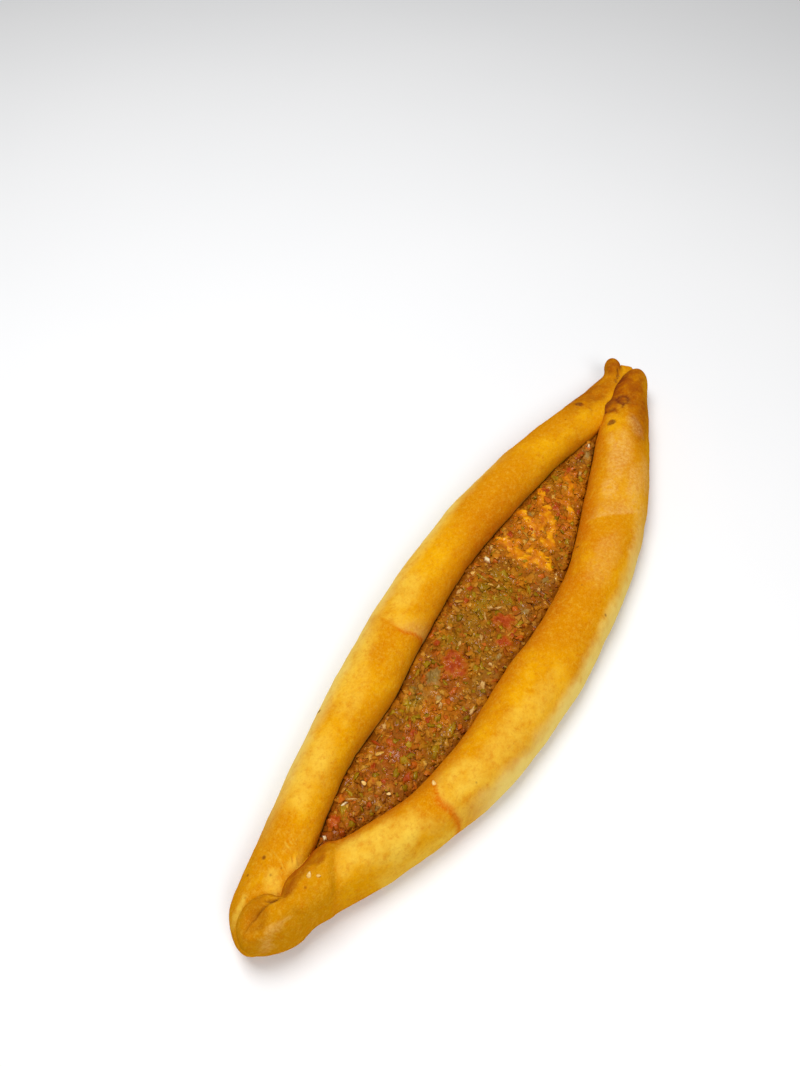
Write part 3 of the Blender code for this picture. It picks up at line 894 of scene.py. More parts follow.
class Wiring:
    """Adds nodes to a tree: type, settings first, then the values or links of its sockets."""

    def __init__(self, tree):
        self.tree = tree

    def node(self, kind, settings=None, sockets=None, out=0):
        """A new node's output, or several of them where out names several in a tuple."""
        made = self.tree.nodes.new(kind)
        for name, value in (settings or {}).items():
            if name == "stops":
                self._stops(made.color_ramp, value)
            else:
                setattr(made, name, value)
        for name, value in (sockets or {}).items():
            for one in value if isinstance(value, list) else [value]:
                if isinstance(one, Value):
                    self.tree.links.new(one.socket, made.inputs[name])
                else:
                    made.inputs[name].default_value = one
        if isinstance(out, tuple):
            return [Value(self, made.outputs[name]) for name in out]
        return Value(self, made.outputs[out]) if len(made.outputs) else made

    @staticmethod
    def _stops(ramp, stops):
        while len(ramp.elements) < len(stops):
            ramp.elements.new(1)
        for element, (place, colour) in zip(ramp.elements, stops):
            element.position, element.color = place, colour

    def attribute(self, name):
        return self.node("ShaderNodeAttribute", {"attribute_name": name}, out="Fac")

    def vector(self, operation, sockets, out=0):
        return self.node("ShaderNodeVectorMath", {"operation": operation}, sockets, out)

    def noise(self, place, size, detail=2.0, roughness=0.5):
        """Smooth noise with features of about the given size in millimetres."""
        return self.node("ShaderNodeTexNoise", {"noise_dimensions": "3D"},
                         {"Vector": place, "Scale": 1 / (size * MM), "Detail": detail,
                          "Roughness": roughness})

    def cells(self, place, size):
        return self.node("ShaderNodeTexVoronoi", {"feature": "F1"},
                         {"Vector": place, "Scale": 1 / (size * MM)}, out="Distance")

    def between(self, value, low, high):
        """0 below low, 1 above high, and smooth between them."""
        return self.node("ShaderNodeMapRange", {"interpolation_type": "SMOOTHSTEP"},
                         {"Value": value, "From Min": low, "From Max": high})

    def mix(self, factor, a, b):
        """Two colours, mixed by the factor."""
        return self.node("ShaderNodeMix", {"data_type": "RGBA"}, {0: factor, 6: a, 7: b}, out=2)

    def tones(self, value, colours):
        """A colour between three, dark to light, as the value rises."""
        stops = [(place, sheen(*colour)) for place, colour in zip(TONE_PLACES, colours)]
        return self.node("ShaderNodeValToRGB", {"stops": stops}, {"Fac": value}, out="Color")

    def bump(self, height, depth):
        """A normal for relief of the given depth in millimetres."""
        return self.node("ShaderNodeBump", {},
                         {"Height": height, "Distance": depth * MM, "Strength": 1.0}, out="Normal")

    def near(self, place, spot, low, high):
        """1 within low millimetres of a spot in metres, 0 past high; heights count for less."""
        across = self.vector("MULTIPLY", {0: place, 1: (1, 1, SPECK_HEIGHT)})
        centre = spot[0], spot[1], spot[2] * SPECK_HEIGHT
        away = self.vector("DISTANCE", {0: across, 1: centre}, out="Value")
        return 1 - self.between(away, low * MM, high * MM)


def sheen(red, green, blue):
    """A colour as it looks, from 0 to 255, as the linear one that nodes take."""
    return (*[(v / 255 / 12.92 if v < 10.31 else ((v / 255 + 0.055) / 1.055) ** 2.4)
              for v in (red, green, blue)], 1.0)


def finish(name, paint):
    """A material with one Principled shader. paint(wiring, place) gives its sockets' values."""
    material = bpy.data.materials.new(name)
    material.use_nodes = True
    tree = material.node_tree
    tree.nodes.clear()
    wiring = Wiring(tree)
    place = wiring.node("ShaderNodeTexCoord", out="Object")
    shader = wiring.node("ShaderNodeBsdfPrincipled", {}, paint(wiring, place))
    wiring.node("ShaderNodeOutputMaterial", {}, {"Surface": shader})
    return material


# ---------------------------------------------------------------------------------------------
# Finishes
# ---------------------------------------------------------------------------------------------

GOLD, LIGHT_GOLD, DEEP_GOLD = sheen(225, 155, 0), sheen(235, 174, 12), sheen(207, 129, 0)
PALE_GOLD, CREAM, OIL_ORANGE = sheen(236, 191, 66), sheen(242, 212, 116), sheen(202, 110, 0)
BROWN, DARK_BROWN = sheen(154, 74, 8), sheen(102, 38, 20)
FLOUR, STAIN = sheen(238, 190, 112), sheen(208, 98, 0)
OLIVE_GOLD = sheen(204, 136, 0)
FLOOR_GREY, FLOOR_WHITE = (0.86, 0.865, 0.875, 1), (0.9, 0.9, 0.905, 1)

# Small dark specks in the skin: (along, across, height), size.
SPECKS = [((-167.7, 28, 25), 1.5), ((-172.3, 20.9, 24), 0.9), ((-176.7, 30.6, 20), 1.0),
          ((-184.8, 25.4, 21), 0.7), ((-167.7, 18.6, 25), 0.7), ((-169.9, 4.1, 30), 0.9),
          ((-97.4, 46.9, 17), 1.5), ((135.3, 21.9, 23), 0.9), ((54.5, -22, 20), 1.2),
          ((21.1, -52, 21), 1.1), ((28.8, -34.6, 26), 0.8), ((-92.3, -35.7, 24), 0.8),
          ((-67, -42, 22), 0.7)]


def paint_crust(w, place):
    """Baked dough: colours laid over one another, each where a mask or some noise is high."""
    broad, patchy = w.noise(place, 30, 3), w.noise(place, 8, 4, 0.6)
    blotchy, grain = w.noise(place, 3.4, 4, 0.65), w.noise(place, 1.3, 4, 0.7)
    fine, flecks = w.noise(place, 0.55, 2), w.noise(place, 1.9, 4, 0.75)
    pores = w.between(w.cells(place, 2.2), 0.05, 0.22)
    cream, browned, floury = (w.attribute(name) for name in ("cream", "browned", "floury"))
    layers = [
        (w.between(patchy, 0.35, 0.75) * 0.6, LIGHT_GOLD),
        # Deeper gold, with painted shade beside the band and between the puckers.
        (w.attribute("orange") * w.between(patchy, 0.1, 0.55), DEEP_GOLD),
        # Lighter patches, with painted highlights.
        (w.attribute("pale") * w.between(patchy, 0.0, 0.7), PALE_GOLD),
        (cream, CREAM),
        (w.attribute("banded") * 0.8, OLIVE_GOLD),
        (w.attribute("oiled") * w.between(patchy, 0.1, 0.65), OIL_ORANGE),
        (browned * w.between(patchy, 0.0, 0.7), BROWN),
        # Flour, and a painted highlight on the knob's ridge.
        (floury * w.between(flecks * 0.6 + blotchy * 0.4, 0.3, 0.66) * 0.64, FLOUR),
        (w.attribute("stained") * 0.85, STAIN),
        # Scorched spots, and painted shade in creases, the slit and the knob's hollows.
        (w.attribute("scorched") * w.between(blotchy, 0.1, 0.5) * 0.85, DARK_BROWN),
        (w.between(blotchy, 0.48, 0.72) * (1 - cream * 0.8) * 0.45, OIL_ORANGE),
        (w.between(grain, 0.46, 0.74) * (1 - cream) * 0.24, BROWN),
        (w.between(flecks, 0.48, 0.68) * (1 - browned * 0.6) * 0.26, PALE_GOLD),
        (w.between(fine, 0.46, 0.7) * (1 - browned * 0.7) * 0.2, PALE_GOLD),
    ]
    layers += [(w.near(place, in_frame(spot), 0.2 * size, size) * min(0.8, 0.5 * size), DARK_BROWN)
               for spot, size in SPECKS]
    colour = w.mix(w.between(broad, 0.35, 0.65), DEEP_GOLD, GOLD)
    for share, tint in layers:
        colour = w.mix(share, colour, tint)
    height = grain * 0.42 + blotchy * 0.35 + fine * 0.2 + pores * 0.1
    return {"Base Color": colour, "Normal": w.bump(height, 0.4),
            "Roughness": 0.44 + 0.16 * patchy + 0.2 * floury, "Specular IOR Level": 0.0}


def oily(w, colour, patchy, height, depth):
    """The sockets of wet, fatty food."""
    return {"Base Color": colour, "Normal": w.bump(height, depth),
            "Roughness": 0.34 + 0.3 * patchy, "Specular IOR Level": 0.1,
            "Coat Weight": w.between(patchy, 0.45, 0.68) * 0.4, "Coat Roughness": 0.1}


# How each stain in the mince spreads with the noise: from, to, strength, colour.
STAIN_SPREADS = {"greyish": (0.3, 0.62, 0.8, sheen(148, 112, 46)),
                 "greenish": (0.3, 0.62, 0.95, sheen(146, 112, 0)),
                 "reddish": (0.3, 0.62, 0.85, sheen(170, 70, 12)),
                 "cheesy": (0.2, 0.6, 0.8, sheen(208, 120, 0))}
# HOLLOW_SHADE is painted shade for the hollows between lumps of mince.
HOLLOW_SHADE, OILY_EDGE = sheen(140, 76, 0), sheen(172, 100, 4)


def paint_mince(*tones):
    """Oily cooked mince between three tones, which takes the colour of what lies near it."""
    def paint(w, place):
        patchy, grain = w.noise(place, 5, 3), w.noise(place, 0.9, 3, 0.65)
        colour = w.tones(w.attribute("tone") * 0.5 + grain * 0.5, tones)
        for name, (low, high, strength, tint) in STAIN_SPREADS.items():
            spread = w.attribute(name) * w.between(patchy, low, high) * strength
            colour = w.mix(spread, colour, tint)
        # Painted shade in the hollows between the lumps.
        colour = w.mix(w.attribute("hollow") * 0.4, colour, HOLLOW_SHADE)
        return oily(w, colour, patchy, grain, 0.5)
    return paint


def paint_bit(*tones, grain_size=1.2):
    """A soft bit of vegetable, cheese or bread between three tones, brown with oil at its edge."""
    def paint(w, place):
        patchy, grain = w.noise(place, 3.2, 3), w.noise(place, grain_size, 3, 0.6)
        value = w.attribute("tone") * 0.4 + grain * 0.5 + patchy * 0.5 - 0.2
        blurred = w.between(w.attribute("edge") + patchy * 1.2, 1.0, 1.7)
        colour = w.mix(blurred * 0.85, w.tones(value, tones), OILY_EDGE)
        return oily(w, colour, patchy, grain, 0.4)
    return paint


def paint_floor(w, place):
    """A pale floor, faintly clouded."""
    soft = w.noise(place, 240, 2)
    return {"Base Color": w.mix(soft, FLOOR_GREY, FLOOR_WHITE), "Roughness": 0.6,
            "Specular IOR Level": 0.3}


# ---------------------------------------------------------------------------------------------
# Pieces
# ---------------------------------------------------------------------------------------------


def frame_shift(mesh):
    """From the bread's own plan to the frame: the near tip goes where the solid's is."""
    low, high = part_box("crust")
    spots = numbers(mesh.vertices, "co", 3)
    least, most = spots.min(0), spots.max(0)
    return low.x / MM - least[0], (low.y + high.y) / 2 / MM - (least[1] + most[1]) / 2


def in_frame(spot):
    """A point of the plan, in metres in the frame."""
    x, y, z = spot
    return Vector(((x + SHIFT[0]) * MM, (y + SHIFT[1]) * MM, z * MM))


def piece(name, mesh, material, slot, *nodes):
    """An object of the finished bread, from a mesh in the plan's millimetres."""
    mesh.transform(Matrix.Diagonal((MM, MM, MM, 1)) @ Matrix.Translation((*SHIFT, 0)))
    mesh.materials.clear()
    mesh.materials.append(material)
    obj = show(name, mesh)
    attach(obj, "root")
    if nodes:
        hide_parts(*nodes)
    return obj


# ---- granules and bits, scattered over the core by a node tree ----

SHAPES = 6
# What the tree is given, each by the kind of its socket.
GIVEN = {"Geometry": "Geometry", "Spacing": "Float", "Seed": "Int", "Share From": "Float",
         "Share To": "Float", "Least Length": "Float", "Greatest Length": "Float",
         "Width": "Float", "Thickness": "Float", "Sink": "Float", "Tilt": "Float",
         "Roughness": "Float", "Material": "Material"}


def random(w, given, salt, low=0.0, high=1.0, kind="FLOAT"):
    """A random value for every lump, of one of the kinds that its node can give."""
    out = ("FLOAT_VECTOR", "FLOAT", "INT").index(kind)
    return w.node("FunctionNodeRandomValue", {"data_type": kind},
                  {2 * out: low, 2 * out + 1: high, "Seed": given["Seed"] + salt}, out=out)


def lump_points(w, given):
    """Poisson-spaced points on the covered surface, those in the given share, and their turns."""
    cover = w.node("GeometryNodeInputNamedAttribute", {"data_type": "FLOAT"}, {"Name": "cover"})
    points, rotation = w.node(
        "GeometryNodeDistributePointsOnFaces", {"distribute_method": "POISSON"},
        {"Mesh": given["Geometry"], "Distance Min": given["Spacing"], "Density Max": 4.0,
         "Density Factor": cover, "Seed": given["Seed"]}, out=("Points", "Rotation"))
    share = random(w, given, 1)
    chosen = (share > given["Share From"]) * (given["Share To"] > share)
    points = w.node("GeometryNodeSeparateGeometry", {"domain": "POINT"},
                    {"Geometry": points, "Selection": chosen})
    points = w.node("GeometryNodeStoreNamedAttribute", {"data_type": "FLOAT", "domain": "POINT"},
                    {"Geometry": points, "Name": "tone", "Value": random(w, given, 2)})
    return points, rotation


def lump_shape(w, number, roughness):
    """One irregular lump, a unit long."""
    ball = w.node("GeometryNodeMeshIcoSphere", {}, {"Radius": 0.5, "Subdivisions": 2})
    place = w.node("GeometryNodeInputPosition")
    moved = w.vector("ADD", {0: place, 1: (number * 7.3, 3.1, 5.7)})
    knobbly = w.node("ShaderNodeTexNoise", {"noise_dimensions": "3D"},
                     {"Vector": moved, "Scale": 2.6, "Detail": 1.0})
    out = w.vector("SCALE", {0: place, "Scale": (knobbly - 0.5) * roughness})
    return w.node("GeometryNodeSetPosition", {}, {"Geometry": ball, "Offset": out})


def lump_turn(w, given, rotation):
    """Every lump spun at random about the surface's upright, and tilted a little."""
    tilt = w.node("ShaderNodeCombineXYZ", {}, {0: given["Tilt"], 1: given["Tilt"], 2: math.pi})
    back = w.vector("SCALE", {0: tilt, "Scale": -1.0})
    turn = random(w, given, 3, back, tilt, "FLOAT_VECTOR")
    turn = w.node("FunctionNodeEulerToRotation", {}, {0: turn})
    return w.node("FunctionNodeRotateRotation", {"rotation_space": "LOCAL"},
                  {"Rotation": rotation, "Rotate By": turn})


def lump_size(w, given):
    """Every lump's length, most often a short one, and its length, width and thickness."""
    skew = random(w, given, 4)
    least, greatest = given["Least Length"], given["Greatest Length"]
    length = least + (greatest - least) * skew * skew
    sides = {axis: length * given[name] * random(w, given, salt, 0.7, 1.3)
             for axis, name, salt in ((1, "Width", 6), (2, "Thickness", 7))}
    return length, w.node("ShaderNodeCombineXYZ", {}, {0: length, **sides})


def scatter_tree():
    """Poisson-spaced lumps over a surface, every one turned, sized and toned at random."""
    tree = bpy.data.node_groups.new("scatter_lumps", "GeometryNodeTree")
    for name, kind in GIVEN.items():
        tree.interface.new_socket(name, in_out="INPUT", socket_type="NodeSocket" + kind)
    tree.interface.new_socket("Geometry", in_out="OUTPUT", socket_type="NodeSocketGeometry")
    w = Wiring(tree)
    given = dict(zip(GIVEN, w.node("NodeGroupInput", out=tuple(GIVEN))))
    points, rotation = lump_points(w, given)
    length, scale = lump_size(w, given)
    down = w.node("ShaderNodeCombineXYZ", {}, {2: given["Sink"] * length * -1.0})
    points = w.node("GeometryNodeSetPosition", {}, {"Geometry": points, "Offset": down})
    shapes = [lump_shape(w, k, given["Roughness"]) for k in range(SHAPES)]
    shapes = w.node("GeometryNodeGeometryToInstance", {}, {0: shapes})
    real = w.node("GeometryNodeInstanceOnPoints", {},
                  {"Points": points, "Instance": shapes, "Pick Instance": True,
                   "Instance Index": random(w, given, 5, 0, SHAPES - 1, "INT"),
                   "Rotation": lump_turn(w, given, rotation), "Scale": scale})
    for kind in ("RealizeInstances", "SetShadeSmooth"):
        real = w.node("GeometryNode" + kind, {}, {0: real})
    real = w.node("GeometryNodeSetMaterial", {}, {"Geometry": real, "Material": given["Material"]})
    w.node("NodeGroupOutput", {}, {0: real})
    return tree


def grown(name, base_mesh, tree, **inputs):
    """The plain mesh that a node tree makes from a base mesh with these inputs."""
    helper = show(name + "_base", base_mesh)
    modifier = helper.modifiers.new(name, "NODES")
    modifier.node_group = tree
    sockets = {item.name: item.identifier for item in tree.interface.items_tree
               if item.item_type == "SOCKET" and item.in_out == "INPUT"}
    for key, value in inputs.items():
        modifier[sockets[key.replace("_", " ")]] = value
    bpy.context.view_layer.update()
    mesh = baked(helper)
    helper.modifiers.clear()
    bpy.data.objects.remove(helper)
    mesh.name = name
    return mesh


# What the tree is given: for grains of mince, and what bits of vegetable have of their own.
SHARED = {"Seed": 4, "Spacing": 2.4, "Width": 0.8, "Thickness": 0.3, "Sink": 0.08,
          "Tilt": 0.5, "Roughness": 2.8, "Least_Length": 2.0, "Greatest_Length": 5.2}
BITS = {"Seed": 21, "Spacing": 4.6, "Width": 0.7, "Thickness": 0.28, "Sink": 0.0, "Tilt": 0.4,
        "Roughness": 2.8, "Least_Length": 1.8, "Greatest_Length": 5.0}
BROWN_MINCE = paint_mince((138, 76, 0), (170, 100, 4), (194, 126, 20))
TAN_MINCE = paint_mince((150, 90, 4), (182, 116, 20), (206, 146, 50))
RED_MINCE = paint_mince((140, 64, 0), (170, 82, 6), (190, 110, 26))
PEPPER_BITS = paint_bit((120, 88, 0), (148, 112, 2), (176, 138, 20))
TOMATO_BITS = paint_bit((156, 70, 2), (184, 90, 8), (200, 116, 26))
ONION_BITS = paint_bit((164, 108, 18), (190, 132, 36), (212, 162, 72))
# Each kind of grain: its look, its slot, its share of the random draw, its own settings.
GRAINS = {
    "mince_brown": (BROWN_MINCE, "cooked_mince", (-1.0, 0.45), {}),
    "mince_tan": (TAN_MINCE, "cooked_mince", (0.45, 0.75), {}),
    "mince_red": (RED_MINCE, "cooked_mince", (0.75, 2.0), {}),
    "pepper_bits": (PEPPER_BITS, "cooked_pepper", (-1.0, 0.45), BITS),
    "tomato_bits": (TOMATO_BITS, "cooked_tomato", (0.45, 0.7), BITS),
    "onion_bits": (ONION_BITS, "cooked_mince", (0.7, 2.0), {**BITS, "Width": 0.55}),
}

# ---- pieces of vegetable, and painted glints, which lie flat and follow the filling's top ----
# Each one: centre, (length, width), turn in degrees, thickness.

TOPPINGS = {
    "tomato_piece_1": ((-39.5, 4), (15.5, 13), 30, 1.7),
    "tomato_piece_2": ((-4, -7), (12, 10), -60, 1.6),
    "tomato_piece_3": ((-15.5, -12.5), (10, 7), -60, 1.4),
    "tomato_piece_4": ((-137.5, 12.5), (8.5, 5.5), 15, 1.5),
    "tomato_piece_5": ((88, 11.5), (8.5, 5.5), 20, 1.4),
    "pepper_piece_1": ((-51.5, 9.5), (10.5, 9.5), 0, 1.5),
    "pepper_piece_2": ((-130.5, 12), (7, 5), 60, 1.5),
}
CHIPS = {
    "pepper_chips": [((-133.5, 7), (6, 3), 75, 1.0), ((-96, -0.5), (6, 4.4), 60, 1.1),
                     ((-71, -12), (7, 5), 15, 1.3), ((-70, 12), (10, 3.6), 10, 1.0),
                     ((-76, 6.5), (5, 3), 30, 0.9), ((-84, -10.5), (8, 3.6), 20, 0.9),
                     ((-28, 12.5), (7, 4), 20, 1.0), ((-36, -7), (6, 3.5), 0, 0.9),
                     ((-23.5, -6.5), (3.6, 3), 0, 0.9), ((5, 3), (5, 4), 60, 1.0),
                     ((9, 11), (6, 4), -20, 1.0), ((14.5, 16.5), (10, 2.4), 80, 0.9),
                     ((20, -10), (8, 3), 40, 1.1), ((22, 6), (9, 4.4), 70, 1.0),
                     ((8.5, -4), (5, 3), 20, 0.9), ((72, 14.4), (5, 2.8), -12, 0.9),
                     ((98.5, 10.5), (6, 4), 60, 1.0), ((60, -14.5), (5, 3), 20, 0.8),
                     ((73, -12), (4, 2.4), 15, 0.8), ((112, -3.4), (6, 2.2), 15, 0.8),
                     ((-53, 17.5), (6, 2), 5, 0.8)],
    "grey_chips": [((-62.5, 14.5), (5.5, 4), 0, 1.0), ((-60, 1.5), (5, 4), 30, 1.0),
                   ((6, -14), (7.5, 5), -20, 1.1), ((30.5, -15), (6, 3.6), -20, 1.0),
                   ((67, 11), (4.5, 4.5), 0, 1.0), ((-24, -14), (5, 3), 0, 0.9),
                   ((-123, -0.5), (6, 3), -30, 0.9), ((94, -7), (4, 2), -30, 0.8),
                   ((124, 1), (9, 4.2), 5, 1.0)],
    "tomato_chips": [((-92, 10), (6.5, 3.4), 85, 1.1), ((-95.3, 16), (7, 1.5), 86, 0.8),
                     ((-82.5, 3), (7.5, 2.8), 20, 1.0), ((-102.5, -5.5), (6.5, 5), 0, 1.1),
                     ((-106, 11), (4.5, 3), 0, 0.9), ((-110, 3), (3.6, 4), 0, 0.9),
                     ((-42.5, -1.5), (9.5, 4.4), -35, 1.2), ((-8, -14.5), (8, 4), 0, 1.1),
                     ((-3.5, 16), (4.6, 3), 20, 1.0), ((4.5, 18), (5, 3), -20, 0.9),
                     ((78.5, 1), (8, 6), 50, 1.1), ((74.5, -2.5), (4, 3), 40, 0.9),
                     ((123, 5.2), (6.5, 3), -8, 1.1), ((95, 5.5), (5, 3.4), 30, 1.0),
                     ((108, 6), (6, 3.6), 0, 1.0), ((48, 15), (5, 4), 50, 1.0),
                     ((82.5, -11.5), (4.4, 2.2), 20, 0.9), ((12.5, -7.5), (6, 2), 30, 0.8),
                     ((-33.5, 17), (4, 3.4), 0, 0.9), ((-53, -3), (7, 3), -20, 0.9),
                     ((67.5, -9.5), (6, 4.4), 0, 1.1), ((-122.5, 3), (3.4, 3.4), 0, 0.9),
                     ((57, 6), (4, 2), 70, 0.8), ((-73, 0), (5, 3), 0, 0.9)],
    "onion_chips": [((-124.5, 11.5), (7, 1.1), -60, 0.8), ((-103, 14), (3.6, 1.6), 10, 0.9),
                    ((-63, -1.5), (4, 2.4), 20, 0.9), ((-42, -14), (5, 2.8), 30, 1.0),
                    ((-57, -16), (6, 2.4), 0, 0.9), ((-28, 6.5), (4.6, 2.2), 0, 0.9),
                    ((-7, 2.6), (8, 1.7), 35, 1.0), ((-1, 3.2), (5, 2), -60, 1.0),
                    ((1.5, -1), (5, 1.5), -45, 0.9), ((13, 5), (4, 2.4), 0, 0.9),
                    ((35, 20.5), (3.6, 2.6), 0, 0.8), ((109, -1), (4, 2), 0, 0.9),
                    ((-30, -12.5), (3, 2), 60, 0.9), ((23, -14.5), (3, 2), 50, 0.9),
                    ((-22, 16), (3.4, 2.8), 0, 0.9), ((0.5, 22), (5, 2.4), -10, 0.8),
                    ((-19.5, -1), (5.5, 3), 10, 1.0), ((-86, 17), (4, 2.6), 30, 0.8),
                    ((52, 11), (3, 2.2), 0, 0.9), ((36, -18.5), (5, 2), 5, 0.8)],
    # Near-white chips where the filling glints: painted highlights.
    "glistening_chips": [((-145.2, 12.4), (2.8, 1.9), 60, 1.4),
                         ((-128.5, 13.2), (4.4, 1.4), -20, 1.5),
                         ((-97.3, -2.8), (2.4, 1.0), -50, 1.2),
                         ((26.5, 18.6), (5.2, 2.8), 65, 1.5), ((-72, -11.6), (1.8, 1.2), 20, 2.0),
                         ((132, 3.2), (3.6, 1.6), 30, 1.1)],
}
TOPPING_SINK, TOPPING_FOOT = 0.6, 0.5
PEPPER_WRINKLE = 1.9
# Spokes and rings of the mesh of a piece and of a chip.
PIECE_FINENESS, CHIP_FINENESS = (96, 26), (36, 9)
# Lumps in the outline of each: height, reach, level.
OUTLINE_LUMPS = [(0.5, 5, 0), (0.36, 9, 5)]


def draped_bit(centre, size, turn, thickness, relief, spokes, rings):
    """The top and the underside of one bit, and how far out from its middle its points are."""
    angle = 2 * np.pi * np.arange(spokes) / spokes
    ways = np.cos(angle), np.sin(angle)
    wobble = 1 + sum(height * uneven(reach * ways[0] + centre[0], reach * ways[1], level, 3)
                     for height, reach, level in OUTLINE_LUMPS)
    ring = np.linspace(0, 1, rings + 1)[1:, None]
    u, v = (np.append(0, ring * wobble * way / 2 * length) for way, length in zip(ways, size))
    c, s = math.cos(math.radians(turn)), math.sin(math.radians(turn))
    x, y = centre[0] + u * c - v * s, centre[1] + u * s + v * c
    out = np.append(0, np.repeat(ring, spokes))
    level = filling_top(x, y) - TOPPING_SINK
    dome = thickness * (0.6 - 0.25 * out ** 2 - 0.35 * out ** 6) + relief(x, y) * (1 - out ** 8)
    top = level + dome + TOPPING_SINK * (1 - out ** 4)
    return np.stack([x, y, top], -1), np.stack([x, y, level - TOPPING_FOOT], -1), out


def draped(name, places, relief, spokes, rings):
    """Flat pieces that follow the filling, each domed and wrinkled above by relief(x, y)."""
    points, faces, away = [], [], []
    half = 1 + rings * spokes
    for place in places:
        top, below, out = draped_bit(*place, relief, spokes, rings)
        first = len(points)
        for start in (first, first + half):
            faces += [(start, start + 1 + k, start + 1 + (k + 1) % spokes) for k in range(spokes)]
            faces += grid_faces(rings, spokes, start + 1)
        rim = first + 1 + (rings - 1) * spokes
        faces += [(rim + k, rim + (k + 1) % spokes, half + rim + (k + 1) % spokes, half + rim + k)
                  for k in range(spokes)]
        points += [*top, *below]
        away += [*out, *out]
    mesh = new_mesh(name, points, faces)
    x, y, _ = np.array(points).T
    mark(mesh, "edge", away)
    mark(mesh, "tone", 0.5 + 0.5 * uneven(x, y, 0, 3, 2.7))
    mesh.shade_smooth()
    return mesh


def pulp_relief(x, y):
    """Soft lumps of tomato."""
    return lumps(x, y, 0, [(0.8, 2.8, 1.7), (0.5, 1.2, 9.1)])


def pepper_relief(x, y):
    """The wrinkled skin of cooked pepper."""
    across = x * 0.8 - y * 0.6 + 1.2 * uneven(x, y, 0, 3, 2.1)
    wave = np.sin(across * 2 * np.pi / PEPPER_WRINKLE)
    broken = smooth(uneven(x, y, 0, 4, 6.6), -0.3, 0.4)
    return 0.3 * wave * broken + 0.7 * uneven(x, y, 0, 3.4, 4.9)


# ---- melted cheese ----

FILM_STEP, FILM_THICK, FILM_MARGIN, FILM_FOOT = 0.42, 0.7, 5, 1.6
FILM_BRIM = 0.4        # how far a film stays from the rims
FILM_END = -0.9        # the body at which a film ends, under the mince
FILM_LIFT = 0.25
FILM_RELIEF, FILM_FINE = 0.75, 0.12       # how much of the mince's lumps shows, and its own


def film_faces(kept):
    """Faces of a film's top and underside over the kept cells of a grid, and the wall round."""
    rows, columns = kept.shape
    half = (rows + 1) * (columns + 1)
    top = [quad(i, j, columns + 1) for i, j in zip(*np.nonzero(kept))]
    sides = {(a, b) for face in top for a, b in zip(face, face[1:] + face[:1])}
    wall = [(b, a, half + a, half + b) for a, b in sides if (b, a) not in sides]
    return top + [tuple(half + v for v in reversed(face)) for face in top] + wall


def cheese_film(name):
    """A patch of melted cheese: a rounded film over the mince, that dives under it at its edge."""
    along = [p for line, _ in STRANDS[name] for p in line]
    low, high = np.min(along, 0) - FILM_MARGIN, np.max(along, 0) + FILM_MARGIN
    x, y = np.meshgrid(*(np.arange(a, b, FILM_STEP) for a, b in zip(low, high)), indexing="ij")
    south, north = (side[:, None] for side in brims(x[:, 0]))
    body = np.minimum(film_body(x, y, name), np.minimum(y - south, north - y) - FILM_BRIM)
    ground = core_top(x, y) + FILM_RELIEF * lumpy(x, y)[0] + FILM_LIFT
    top = ground + FILM_THICK * np.clip(signed_power(body, 0.6), -1.8, 1.0)
    top = top + FILM_FINE * uneven(x, y, 0, 1.1, 8.8)
    kept = body > FILM_END
    faces = film_faces(kept[:-1, :-1] & kept[1:, :-1] & kept[1:, 1:] & kept[:-1, 1:])
    used = np.unique([v for face in faces for v in face])
    points = np.stack([np.tile(x.ravel(), 2), np.tile(y.ravel(), 2),
                       np.append(top, core_top(x, y) - FILM_FOOT)], -1)[used]
    place = {int(v): k for k, v in enumerate(used)}
    mesh = bpy.data.meshes.new(name)
    mesh.from_pydata([tuple(p) for p in points], [],
                     [tuple(place[v] for v in face) for face in faces])
    mark(mesh, "tone", 0.5 + 0.9 * uneven(points[:, 0], points[:, 1], 0, 4, 4.4))
    mark(mesh, "edge", np.tile((1.1 - smooth(body, -0.3, 1.1)).ravel(), 2)[used])
    mesh.shade_smooth()
    return mesh


# ---- seeds ----

# On the crust and in the filling: (along, across), length, turn in degrees.
SEEDS = [((-164.9, 5.6), 2.8, 20), ((-163.2, 1.9), 1.9, -60), ((-102.3, -19.3), 2.9, 50),
         ((-115.5, 10.3), 2.8, 80), ((-114, -2.3), 2.2, 130)]
SEED_LIFT = 0.9       # of the seeds in the filling
SKIN_ABOVE = 12       # the skin that seeds can rest on
# Half a seed's width and thickness as shares of its length, its taper and its unevenness.
SEED_WIDTH, SEED_THICKNESS, SEED_TAPER, SEED_UNEVEN = 0.32, 0.18, 0.42, 0.12


def seeds(skin):
    """Teardrop seeds, each resting on the skin or on the filling."""
    tree = kdtree.KDTree(len(skin.vertices))
    for v in skin.vertices:
        if v.co.z > SKIN_ABOVE:
            tree.insert((v.co.x, v.co.y, 0), v.index)
    tree.balance()
    heap = bmesh.new()
    for (x, y), length, turn in SEEDS:
        low, high = brims(np.array([x]))
        if low[0] < y < high[0]:
            z = float(filling_top(x, y)) + SEED_LIFT
        else:
            z = skin.vertices[tree.find((x, y, 0))[1]].co.z
        spin = Matrix.Rotation(math.radians(turn), 3, "Z")
        for v in bmesh.ops.create_uvsphere(heap, u_segments=16, v_segments=10, radius=1)["verts"]:
            width = SEED_WIDTH * (1 - SEED_TAPER * v.co.x)
            lump = 1 + SEED_UNEVEN * noise.noise(v.co * 1.7 + Vector((x, y, 0)))
            form = Vector((v.co.x / 2, v.co.y * width, v.co.z * SEED_THICKNESS))
            v.co = spin @ (form * length * lump) + Vector((x, y, z + length * 0.1))
    mesh = bpy.data.meshes.new("seeds")
    heap.to_mesh(mesh)
    heap.free()
    mark(mesh, "tone", [0.7] * len(mesh.vertices))
    mesh.shade_smooth()
    return mesh


